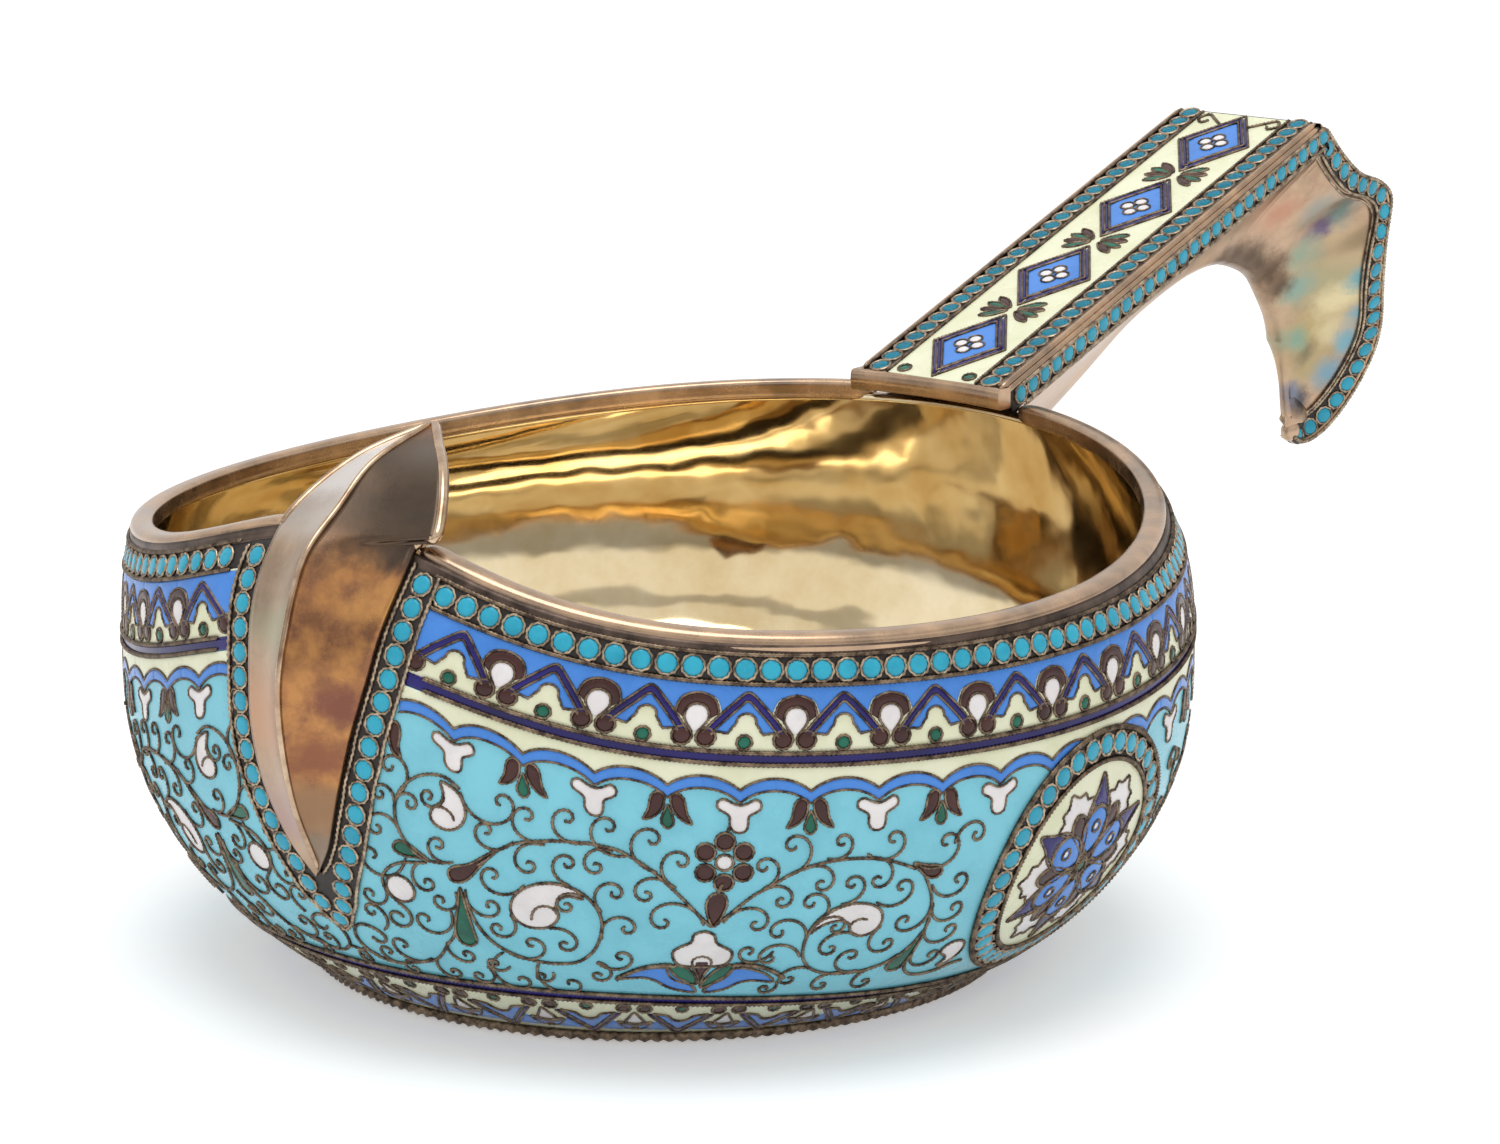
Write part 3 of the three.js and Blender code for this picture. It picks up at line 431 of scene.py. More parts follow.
DOME_SPREAD, DOME_RISE = np.array([1.0, 0.9, 0.66, 0.33]), np.array([-0.25, 0.55, 0.9, 1.0])
DOME_HEIGHT, DOME_PEAK_SHARE, DOME_SIDES, DOME_INSET = 0.22, 1.02, 20, 0.08
BEAD_RING, BEAD_RING_LIFT, BEAD_RING_RIDGE, BEAD_RING_PITCH = 0.14, 0.06, 0.42, 0.62
BEAD_PITCH, BEAD_RADIUS, FRAME_BEAD_RADIUS, SIDE_BEAD_RADIUS = 2.14, 0.98, 1.0, 0.95


def bead_row(domes, rings, where, normals, along, radius):
    """Round enamel beads in twisted wire rings."""
    up = unit(normals)
    side = unit(np.cross(up, along))
    ahead = np.cross(side, up)
    turn = 2 * math.pi * np.arange(DOME_SIDES) / DOME_SIDES
    for k, size in enumerate(np.broadcast_to(radius, len(where))):
        spread = DOME_SPREAD * (size - DOME_INSET)
        rise = DOME_RISE * DOME_HEIGHT
        flat = side[k] * np.cos(turn)[:, None] + ahead[k] * np.sin(turn)[:, None]
        rows = where[k] + spread[:, None, None] * flat + rise[:, None, None] * up[k]
        top = where[k] + up[k] * DOME_HEIGHT * DOME_PEAK_SHARE
        base = domes.count
        domes.add(np.concatenate([rows.reshape(-1, 3), [top]]), grid_faces(len(rows), DOME_SIDES, True))
        last = np.arange(DOME_SIDES) + (len(rows) - 1) * DOME_SIDES
        peak = np.full(DOME_SIDES, len(rows) * DOME_SIDES)
        domes.add_faces(np.stack([last, np.roll(last, -1), peak], -1), base)
        rod(rings, where[k] + flat * size + up[k] * BEAD_RING_LIFT, np.repeat(up[k:k + 1], DOME_SIDES, 0),
            BEAD_RING, BEAD_RING_RIDGE, BEAD_RING_PITCH, sides=5, closed=True)


# Materials
def srgb(text):
    """A colour as written in hexadecimal, in Blender's linear values."""
    values = [int(text[k:k + 2], 16) / 255 for k in (0, 2, 4)]
    return (*(v / 12.92 if v <= 0.04045 else ((v + 0.055) / 1.055) ** 2.4 for v in values), 1)


class Graph:
    """The shader nodes of a material or of the world."""

    def __init__(self, owner):
        owner.use_nodes = True
        self.nodes, self.links = owner.node_tree.nodes, owner.node_tree.links

    def set(self, node, values):
        """Gives a node's inputs their values, or links them where a value is another node's output."""
        for name, value in values.items():
            if isinstance(value, bpy.types.NodeSocket):
                self.links.new(value, node.inputs[name])
            else:
                node.inputs[name].default_value = value

    def add(self, kind, values=None, **settings):
        node = self.nodes.new("ShaderNode" + kind)
        for name, value in settings.items():
            setattr(node, name, value)
        self.set(node, values or {})
        return node


NOISE_DETAIL, NOISE_ROUGH, FINE_DETAIL = 6.0, 0.6, 3.0
NOISE_LOW, NOISE_HIGH = 0.3, 0.7


def material(name, light, dark, metallic=0.0, rough=0.3, size=4.0, low=0.35, high=0.65, bump=0.0,
             bump_size=0.3, rough_swing=0.0, specular=0.5):
    """Two colours mixed by noise, with matching roughness and bump; sizes are in millimetres."""
    mat = bpy.data.materials.new(name)
    graph = Graph(mat)
    shader = graph.nodes["Principled BSDF"]
    graph.set(shader, {"Metallic": metallic, "Roughness": rough, "Specular IOR Level": specular})
    where = graph.add("TexCoord").outputs["Object"]
    noise = graph.add("TexNoise", {"Vector": where, "Scale": PER_METRE / size, "Detail": NOISE_DETAIL,
                                   "Roughness": NOISE_ROUGH}).outputs["Fac"]
    ramp = graph.add("ValToRGB", {"Fac": noise})
    for stop, place, text in zip(ramp.color_ramp.elements, (low, high), (dark, light)):
        stop.position = place
        stop.color = srgb(text)
    graph.set(shader, {"Base Color": ramp.outputs["Color"]})
    if rough_swing:
        swing = graph.add("MapRange", {"Value": noise, "From Min": NOISE_LOW, "From Max": NOISE_HIGH,
                                       "To Min": rough - rough_swing, "To Max": rough + rough_swing})
        graph.set(shader, {"Roughness": swing.outputs["Result"]})
    if bump:
        fine = graph.add("TexNoise", {"Vector": where, "Scale": PER_METRE / bump_size, "Detail": FINE_DETAIL})
        relief = graph.add("Bump", {"Height": fine.outputs["Fac"], "Strength": 1.0, "Distance": bump * MM})
        graph.set(shader, {"Normal": relief.outputs["Normal"]})
    return mat


def enamel(name, light, dark, rough=0.28):
    return material(name, light, dark, rough=rough, size=5.0, low=0.3, high=0.6, bump=0.012, bump_size=1.2,
                    rough_swing=0.06, specular=0.3)


SPOT_WARP_DETAIL, SPOT_WARP_ROUGH = 8.0, 0.7


def patina_and_painted_light(name, light, dark, stains_and_painted_light, metallic=0.9, rough=0.3, warp=3.0, size=8.0, grain=5.0, core=0.3,
           fringe=1.2, strength=0.92):
    """Worn metal with stains, and with painted highlights and reflections: each spot has a place (x, z), a
    reach in millimetres and a colour.
    """
    mat = material(name, light, dark, metallic, rough, size, 0.38, 0.62, bump=0.008, bump_size=0.5,
                   rough_swing=0.07)
    graph = Graph(mat)
    shader = graph.nodes["Principled BSDF"]
    colour = shader.inputs["Base Color"].links[0].from_socket
    where = graph.add("TexCoord").outputs["Object"]
    noise = graph.add("TexNoise", {"Vector": where, "Scale": PER_METRE / grain, "Detail": SPOT_WARP_DETAIL,
                                   "Roughness": SPOT_WARP_ROUGH})
    shifted = graph.add("VectorMath", {0: noise.outputs["Color"], 1: (warp * MM,) * 3, 2: where},
                        operation="MULTIPLY_ADD")
    flat = graph.add("VectorMath", {0: shifted.outputs[0], 1: (1, 0, 1)}, operation="MULTIPLY")
    for (x, z), reach, tint in stains_and_painted_light:
        centre = ((x + warp / 2) * MM, 0, (z + warp / 2) * MM)
        far = graph.add("VectorMath", {0: flat.outputs[0], 1: centre}, operation="DISTANCE")
        fade = graph.add("MapRange", {"Value": far.outputs["Value"], "From Min": core * reach * MM,
                                      "From Max": fringe * reach * MM, "To Min": strength, "To Max": 0.0},
                         interpolation_type="SMOOTHSTEP")
        mix = graph.add("Mix", {0: fade.outputs["Result"], 6: colour, 7: srgb(tint)}, data_type="RGBA")
        colour = mix.outputs[2]
    graph.set(shader, {"Base Color": colour})
    return mat


def tilt_normals(mat, height, reach, rise):
    """The shine of a wall that curves in below a height, over a reach, by a rise, all in millimetres."""
    graph = Graph(mat)
    shader = graph.nodes["Principled BSDF"]
    level = graph.add("SeparateXYZ", {0: graph.add("TexCoord").outputs["Object"]}).outputs["Z"]
    share = graph.add("MapRange", {"Value": level, "From Min": height * MM,
                                   "From Max": (height - reach) * MM})
    square = graph.add("Math", {0: share.outputs["Result"], 1: 2.0}, operation="POWER")
    relief = graph.add("Bump", {"Height": square.outputs[0], "Distance": rise * MM,
                                "Normal": shader.inputs["Normal"].links[0].from_socket})
    graph.set(shader, {"Normal": relief.outputs["Normal"]})


turquoise = enamel("turquoise_enamel", "85d2e3", "79c6d8")
cornflower = enamel("cornflower_enamel", "4f8ee2", "417fd0")
cobalt = enamel("cobalt_enamel", "271f70", "19134a", rough=0.2)
cream = enamel("cream_enamel", "eff0d2", "e2e3bd")
white = enamel("white_enamel", "f1edec", "e2dbdb")
brown = enamel("brown_enamel", "4a2a26", "351d1b")
green = enamel("green_enamel", "1f6e58", "15513f")
bead_blue = enamel("bead_enamel", "37b0cc", "2796b2")
ENAMELS = {"blue": cornflower, "cobalt": cobalt, "brown": brown, "white": white, "green": green}
dark_ground = material("dark_ground", "2e2622", "1b1613", rough=0.6, size=1.0, bump=0.03)
wire_metal = material("gilt_wire", "94806a", "43362e", 0.9, 0.42, size=0.9, low=0.38, high=0.66)
ring_metal = material("gilt_rings", "c4b096", "65564a", 0.9, 0.4, size=0.8, low=0.35, high=0.62)
rim_metal = material("worn_gilt_rim", "d0ae8e", "94806f", 0.95, 0.26, size=5.0, low=0.3, high=0.7,
                     bump=0.006, bump_size=0.4, rough_swing=0.08)
inside_gold = material("gilt_inside", "f0dfba", "d8bd8c", 1.0, 0.08, size=14.0, bump=0.35, bump_size=18.0,
                       rough_swing=0.03)
tilt_normals(inside_gold, 37.5, 30.0, 9.5)
# The neck under the rim: dark metal for the groove's tarnish and painted shade.
neck_tarnish_and_shade = material("dark_neck_tarnish_and_painted_shade", "6d5c52", "3c332e", 0.9, 0.4, size=3.0)
silver_gilt = material("silver_gilt", "c8a98b", "96775f", 1.0, 0.28, size=6.0, bump=0.01, bump_size=0.5,
                       rough_swing=0.08)

# Bands of enamel round the bowl
COLUMNS = 360
around = 2 * math.pi * np.arange(COLUMNS) / COLUMNS
BAND_THICKNESS = 0.4


def ring_band(name, low, high, rows, mat, replaces, offset=0.0):
    """A closed band round the bowl; low and high give heights at an angle."""
    shares = np.linspace(0, 1, rows + 1)
    profile = [(share, offset) for share in shares] + [(share, -BAND_THICKNESS) for share in shares[::-1]]
    rings = [skin(around, low(around) + (high(around) - low(around)) * share, lift)
             for share, lift in profile]
    piece = Piece(name, mat)
    piece.add(np.stack(rings), grid_faces(len(profile), COLUMNS, True, True))
    piece.make(replaces)


def below(depth):
    return lambda angle: rim(angle) - depth


def low_level(height):
    return lambda angle: height * dip(angle)


def even_level(height):
    return lambda angle: height + 0 * angle


ring_band("bead_ground", below(BEAD_LOW), below(0.9), 6, dark_ground, ["rim_bead_band"])
ring_band("chevron_ground", below(CHEVRON_LOW), below(BEAD_LOW), 12, cream, ["chevron_band"])
ring_band("upper_line_enamel", below(COBALT_LOW), below(CHEVRON_LOW), 4, cobalt, ["upper_cobalt_line"], 0.03)
ring_band("field_enamel", low_level(LINE_TOP), below(COBALT_LOW), 48, turquoise,
          ["front_scroll_field", "rear_scroll_field", "front_scallop_strip_right",
           "front_scallop_strip_left", "rear_scallop_strip"])
ring_band("lower_line_enamel", low_level(LINE_LOW), low_level(LINE_TOP), 4, cobalt, ["lower_cobalt_line"],
          0.03)
ring_band("lower_ground", even_level(BORDER_GROUND_LOW), low_level(LINE_LOW), 14, cream,
          ["lower_border_band"])

WALL_OUTSIDE, WALL_INSIDE, WALL_FLOOR = -0.7, -1.7, 1.0
WALL_TOP_DROP = 0.45


def bowl_shell():
    """The metal wall: hidden outside, gilt inside, with the flat underside."""
    shares = np.concatenate([[0.004], np.linspace(0.03, 1, 70)])
    top = rim(around) - WALL_TOP_DROP
    outer = [skin(around, top * share, WALL_OUTSIDE) for share in shares]
    inner = [skin(around, top * share, WALL_INSIDE) for share in shares[::-1]]
    ring = np.stack([-np.cos(around), -np.sin(around), 0 * around], -1)
    under = [ring * radius for radius in (0.5, 15.0, FOOT + WALL_OUTSIDE)]
    ground = [inner[-1] * (1, 1, 0) * share + (0, 0, WALL_FLOOR)
              for share in (0.99, 0.9, 0.75, 0.5, 0.25, 0.02)]
    rings = np.stack(under + outer + inner + ground)
    faces = grid_faces(len(rings), COLUMNS, True)
    split = (len(under) + len(outer)) * COLUMNS
    piece = Piece("bowl_wall", silver_gilt, inside_gold)
    piece.add(rings, faces[:split])
    piece.add_faces(faces[split:], 0, 1)
    order = np.arange(COLUMNS)
    piece.add_faces([order[::-1]], 0)
    piece.add_faces([order], (len(rings) - 1) * COLUMNS, 1)
    piece.make(["bowl_shell"])


bowl_shell()

# The rolled rim's section, out from its middle and up; it thins out at both ends
RIM_SECTION = [(1.0, -1.05), (1.16, -0.5), (1.16, 0.1), (1.02, 0.6), (0.55, 0.9), (-0.1, 1.0), (-0.7, 0.97),
               (-0.98, 0.7), (-1.0, 0.1), (-0.95, -0.8), (0.0, -1.1)]
RIM_END_SHARES = (0.3, 0.75, 0.92, 0.98)
RIM_INSET, RIM_DROP, RIM_STEPS = 0.85, 0.35, 200
RIM_STARTS, RIM_END = {1: 8.5, -1: 6.9}, 8.7
NECK_SECTION = [(0.3, 0.25), (0.7, 0.1), (1.0, 0.05), (1.3, 0.12), (1.3, -0.4), (0.5, -0.4)]


def rim_moulding():
    """The rolled rim, from the prow's faces to the handle, with the dark neck below it: tarnish and painted
    shade in the groove.
    """
    piece, neck = Piece("rim_moulding", rim_metal), Piece("rim_neck", neck_tarnish_and_shade)
    section = smooth(RIM_SECTION, closed=True)
    for side, start in RIM_STARTS.items():
        angles = np.linspace(math.asin(start / RIM_X), math.pi - math.asin(RIM_END / RIM_X), RIM_STEPS)
        path = np.stack([*rim_plan(angles, RIM_INSET), rim(angles) - RIM_DROP], -1)
        outward = unit(np.cross(np.gradient(path, axis=0), (0, 0, 1)))
        outward *= np.sign(np.sum(outward[:, :2] * path[:, :2], axis=1))[:, None]
        swollen = np.ones(len(path))
        swollen[:4] = RIM_END_SHARES
        swollen[-4:] = RIM_END_SHARES[::-1]
        scaled = section[None] * swollen[:, None, None]
        ring = path[:, None] + outward[:, None] * scaled[..., :1] + np.array([0, 0, 1.0]) * scaled[..., 1:]
        piece.add(ring * (1, side, 1), grid_faces(len(path), len(section), True)[:, ::side])
        for row, order in ((0, 1), (-1, -1)):
            piece.add(ring[row] * (1, side, 1), np.arange(len(section))[::order][None])
        rows = [skin(angles, rim(angles) - drop, lift) for drop, lift in NECK_SECTION]
        neck.add(np.stack(rows) * (1, side, 1), grid_faces(len(rows), len(angles), False, True)[:, ::side])
    piece.make(["rim_moulding_right", "rim_moulding_left"])
    neck.make()


rim_moulding()

# Twisted wires that edge the bands
EDGE_WIRE, FOOT_WIRE, FOOT_WIRE_REACH, FOOT_WIRE_LEVEL = 0.2, 0.5, 32.2, 0.6
BORDER_REACH = 11.2
band_wires = Piece("band_wires", wire_metal)
x = np.linspace(math.asin(BORDER_REACH / WIDEST_X) * REF + 0.2, HALF_TURN, 500)
for depth in (1.12, 3.55, 9.45, 10.45):
    wire(band_wires, under_rim, level_line(x, -depth), EDGE_WIRE, curved=False)
band_wires.mirror().make(["rim_groove_wire", "bead_row_wire", "upper_line_top_wire", "upper_line_low_wire"])

low_wires = Piece("lower_wires", wire_metal)
degrees = np.radians(np.arange(0, 360.0))
for height in (LINE_TOP, LINE_LOW):
    where = skin(degrees, height * dip(degrees), 0.12)
    normals = skin(degrees, height * dip(degrees), 1.12) - where
    rod(low_wires, where, normals, EDGE_WIRE, WIRE_RIDGE, closed=True)
low_wires.make(["lower_line_top_wire", "lower_line_low_wire"])

foot_wire = Piece("foot_rope", wire_metal)
foot_path = np.stack([-FOOT_WIRE_REACH * np.cos(degrees), -FOOT_WIRE_REACH * np.sin(degrees),
                      0 * degrees + FOOT_WIRE_LEVEL], -1)
rod(foot_wire, foot_path, np.tile([0.0, 0, 1], (len(degrees), 1)), FOOT_WIRE, 0.25, pitch=1.1, step=0.3,
    sides=10, closed=True)
foot_wire.make(["foot_wire"])

# Beads under the rim
BEAD_COUNT, FIRST_BEAD, LAST_BEAD, BEAD_LEVEL = 64, 12.75, 1.1, -2.33
domes, rings = Piece("beads", bead_blue), Piece("bead_rings", ring_metal)
x = np.linspace(FIRST_BEAD, HALF_TURN - LAST_BEAD, BEAD_COUNT)
where, normals = laid(under_rim, level_line(x, BEAD_LEVEL), 0.0)
bead_row(domes, rings, where, normals, np.gradient(where, axis=0), BEAD_RADIUS)

# Chevron band: tents of blue and cobalt over small niches, with an arch, a drop and dots between them
blue_cells = Piece("cornflower_cells", cornflower)
cobalt_cells = Piece("cobalt_cells", cobalt)
brown_cells = Piece("brown_cells", brown)
white_cells = Piece("white_cells", white)
green_cells = Piece("green_cells", green)
cream_cells = Piece("cream_cells", cream)
fine_wires = Piece("cell_wires", wire_metal)
CHEVRON_COUNT = 17
CHEVRON_PITCH = math.radians(161.6 / 16.5) * REF
CHEVRON_START = math.radians(18.4) * REF
CHEVRON_TOP = -3.6


def drawn_back(x):
    """The maker set the first repeats closer to the prow."""
    return x - 1.6 * np.clip((95 - x) / 60, 0, 1)


def on_chevrons(x, y, h):
    """Under the rim, leaning away from the prow over the first repeats."""
    lean = 0.3 * np.clip(1 - (x - 20) / 30, 0, 1)
    return under_rim(x + lean * (y + 8.4), y, h)


def mirrored_line(points):
    return list(points) + [(-x, y) for x, y in reversed(points[:-1])]


def arch(points, step=DRAWING_STEP):
    """A smooth line through points and the same points on the other side of the last."""
    return smooth(mirrored_line(points), step)


def straight(points, step=0.5):
    """Straight runs through points, sampled about every step."""
    points = np.asarray(points, float)
    out = [points[:1]]
    for a, b in zip(points[:-1], points[1:]):
        count = max(1, int(np.linalg.norm(b - a) / step))
        out.append(a + (b - a) * (np.arange(1, count + 1) / count)[:, None])
    return np.concatenate(out)


chevrons = drawn_back(CHEVRON_START + CHEVRON_PITCH * np.arange(CHEVRON_COUNT))
gaps = drawn_back(CHEVRON_START + CHEVRON_PITCH * (np.arange(CHEVRON_COUNT) - 0.5))
tent_out = arch([(-3.6, -7.9), (-2.45, -6.45), (-1.2, -5.15), (-0.45, -4.45), (0, -4.25)])
tent_in = arch([(-2.95, -8.05), (-1.9, -6.8), (-0.85, -5.7), (-0.25, -5.1), (0, -5.0)])
niche = arch([(-2.95, -8.05), (-2.3, -7.7), (-1.5, -7.85), (-1.15, -7.3), (-0.85, -6.95), (-0.75, -6.45),
              (-0.4, -6.15), (0, -6.05)])
arch_out = arch([(-1.78, -6.35), (-1.75, -5.7), (-1.25, -4.85), (0, -4.45)])
arch_in = arch([(-1.05, -6.85), (-0.98, -6.1), (-0.65, -5.6), (0, -5.4)])
drop = arch([(-0.22, -7.85), (-0.65, -7.3), (-1.0, -6.7), (-0.95, -6.05), (-0.62, -5.6), (0, -5.42)])
half = CHEVRON_PITCH / 2
wide = half + 0.3
shoulder = smooth([(wide, -4.6), (half - 1.2, -4.8), (half - 1.75, -5.6), (half - 1.9, -6.5), (2.5, -6.5)],
                  DRAWING_STEP)
sky = np.concatenate([straight([(-wide, CHEVRON_TOP), (wide, CHEVRON_TOP)]), shoulder[:-1],
                      tent_out[::-1][(tent_out[::-1, 1] > -6.4)], shoulder[::-1][1:] * (-1, 1)])

cell(blue_cells, on_chevrons, sky, chevrons, curved=False)
cell(cobalt_cells, on_chevrons, np.concatenate([tent_out, tent_in[::-1]]), chevrons, 0.16, False)
cell(blue_cells, on_chevrons, np.concatenate([tent_in, niche[::-1][1:-1]]), chevrons, curved=False)
cell(brown_cells, on_chevrons, np.concatenate([arch_out, arch_in[::-1]]), gaps[1:], 0.16, False)
cell(white_cells, on_chevrons, drop, gaps[1:], 0.13, False)
for places, lines in ((chevrons, (tent_out, tent_in, niche)), (gaps[1:], (arch_out, arch_in, drop))):
    for line in lines:
        wire(fine_wires, on_chevrons, line, FINE_WIRE, curved=False, shifts=places)
for side in (-0.98, 0.98):
    dot(brown_cells, fine_wires, on_chevrons, side, -8.25, 0.76, 0.06, 20, 0,
        shifts=gaps if side > 0 else gaps[1:], high=0.18)
dot(green_cells, fine_wires, on_chevrons, 0, -8.55, 0.56, shifts=chevrons, high=0.18)

# The corner beside the prow's border
corner = straight([(8.9, CHEVRON_TOP), (14.2, CHEVRON_TOP), (14.0, -4.8), (12.6, -5.9), (11.2, -7.0),
                   (10.4, -7.4), (9.2, -7.4), (8.9, CHEVRON_TOP)])
cell(blue_cells, on_chevrons, corner[:-1], high=0.09, curved=False)

# Scalloped garland: blue scallops below a cream strip, with a leaf or a trefoil hanging at each cusp
SCALLOP_PITCH, FIRST_CUSP, SCALLOP_COUNT, GARLAND_TOP = 5.98, 8.3, 12, -10.6
cusps = FIRST_CUSP + SCALLOP_PITCH * np.arange(SCALLOP_COUNT)
all_cusps = np.sort(np.concatenate([cusps, HALF_TURN - cusps]))
wide = SCALLOP_PITCH / 2 + 0.2
last_half = cusps[0] - SCALLOP_PITCH


def both_ways(points):
    """A smooth line from its middle outwards to both sides."""
    left = smooth([(-x, y) for x, y in points[::-1]], DRAWING_STEP)
    return np.concatenate([left[:-1], smooth(points, DRAWING_STEP)])


upper = both_ways([(0, -12.75), (0.5, -12.35), (1.3, -11.95), (2.2, -11.7), (wide, -11.62)])
lower = both_ways([(0, -13.85), (0.3, -13.6), (0.9, -13.2), (1.7, -12.88), (2.4, -12.75), (wide, -12.7)])
for left, right, places in ((-wide, wide, all_cusps[1:]), (0.6, wide, all_cusps[:1]),
                            (-wide, last_half, [HALF_TURN - last_half])):
    over, beneath = [line[(line[:, 0] >= left) & (line[:, 0] <= right)] for line in (upper, lower)]
    strip = straight([(right, GARLAND_TOP), (left, GARLAND_TOP)])
    cell(blue_cells, under_rim, np.concatenate([over, beneath[::-1]]), places, 0.13, False)
    cell(cream_cells, under_rim, np.concatenate([strip, over]), places, 0.07, False)
    for line in (over, beneath):
        wire(fine_wires, under_rim, line, FINE_WIRE, curved=False, shifts=places)
leaf = [(-0.35, -13.5), (-0.9, -13.4), (-1.35, -13.8), (-1.5, -14.5), (-1.65, -15.2), (-2.05, -16.0),
        (-1.35, -15.8), (-0.65, -15.2), (-0.28, -14.4)]
trefoil = [(0, -14.05), (-0.65, -13.85), (-1.3, -13.55), (-1.85, -13.8), (-1.85, -14.4), (-1.25, -14.75),
           (-0.85, -15.1), (-0.85, -15.8), (-0.55, -16.35), (0, -16.5), (0.55, -16.25), (0.7, -15.6),
           (0.75, -15.0), (1.3, -14.65), (1.75, -14.3), (1.75, -13.75), (1.3, -13.5), (0.65, -13.85)]
green_drop = [(0, -14.5), (-0.4, -15.4), (-0.52, -16.1), (0, -16.6), (0.52, -16.1), (0.4, -15.4)]
leaf_cusps = np.concatenate([cusps[2:10:2], HALF_TURN - cusps[2:10:2]])
white_cusps = np.concatenate([cusps[1:11:2], HALF_TURN - cusps[1:11:2]])
for side in (1, -1):
    walled_cell(brown_cells, fine_wires, under_rim, [(x * side, y) for x, y in leaf], shifts=leaf_cusps,
                high=0.15)
walled_cell(green_cells, fine_wires, under_rim, green_drop, shifts=leaf_cusps, high=0.15)
walled_cell(white_cells, fine_wires, under_rim, trefoil, shifts=white_cusps, high=0.14)

# Scroll field
STEMS = [
    [(36.2, 22.2), (35, 23.6), (33.5, 25.4), (32.3, 26.7), (31, 28), (29.5, 29.1), (28, 29.9), (26, 30.3),
     (24, 30.4), (22, 30.3), (20, 30), (18.3, 29.3), (17, 28.2), (16, 27.4)],
    [(14.5, 24.5), (14.7, 22.5), (15.2, 20.8), (16.1, 19.2), (17.3, 18.1), (18.7, 17.4), (20.3, 17),
     (22, 16.9), (24, 17.3), (25.5, 18.7), (26.3, 20.5), (26.6, 22.3), (26.2, 24), (25.2, 25.3),
     (24, 26), (22.5, 26.3), (21, 26.1)],
    [(36.4, 22.3), (37.8, 23.8), (39.5, 25.5), (41, 26.5), (43, 27.8), (45, 28.5), (47, 28.8), (49, 28.8),
     (51, 28.5), (53, 27.8), (54.3, 27.2)],
    [(55.3, 26.4), (56.1, 25), (56.7, 23.6), (57, 22), (57.2, 20.3)],
    [(55.6, 16.9), (54.5, 15.8), (52.5, 15), (50, 14.9), (48, 15.3), (46.3, 16.3), (45.3, 17.8), (45, 19.5),
     (45.2, 21.3), (45.8, 22.6), (47, 23.7), (48.5, 24.2)],
    [(57.2, 17.5), (57.1, 15.6), (57.6, 14.1), (58.8, 13), (60.5, 12.5), (62.5, 12.7), (64, 13.4),
     (65.5, 13.6)],
    [(14.8, 34.2), (13.5, 35.1), (12, 35.2), (10.6, 34.7), (9.4, 33.6), (8.8, 32.3), (8.7, 31), (9.1, 29.5),
     (10, 28.2), (11, 27.4), (12, 27.2), (13, 27.2)],
    [(11.3, 27), (9, 26.7), (7.5, 26), (6.6, 24.8), (6.7, 23.5), (7.6, 22.4), (8.4, 21.5), (8.5, 20.5),
     (7.8, 19.6), (6.8, 19.5), (6.2, 20.2), (6.5, 21), (7.3, 21.1), (7.7, 20.6)],
    [(12.8, 20), (12.3, 19), (11.5, 18), (10.5, 16.6), (9.3, 15.4), (7, 14.5), (5, 13.9), (3.3, 13.8),
     (2, 14.3), (1, 15.3), (0.7, 16.7), (1.2, 18), (2.3, 18.7), (3.6, 18.5), (4.5, 17.7), (4.2, 16.8),
     (3.4, 16.6), (2.8, 17.2)],
]
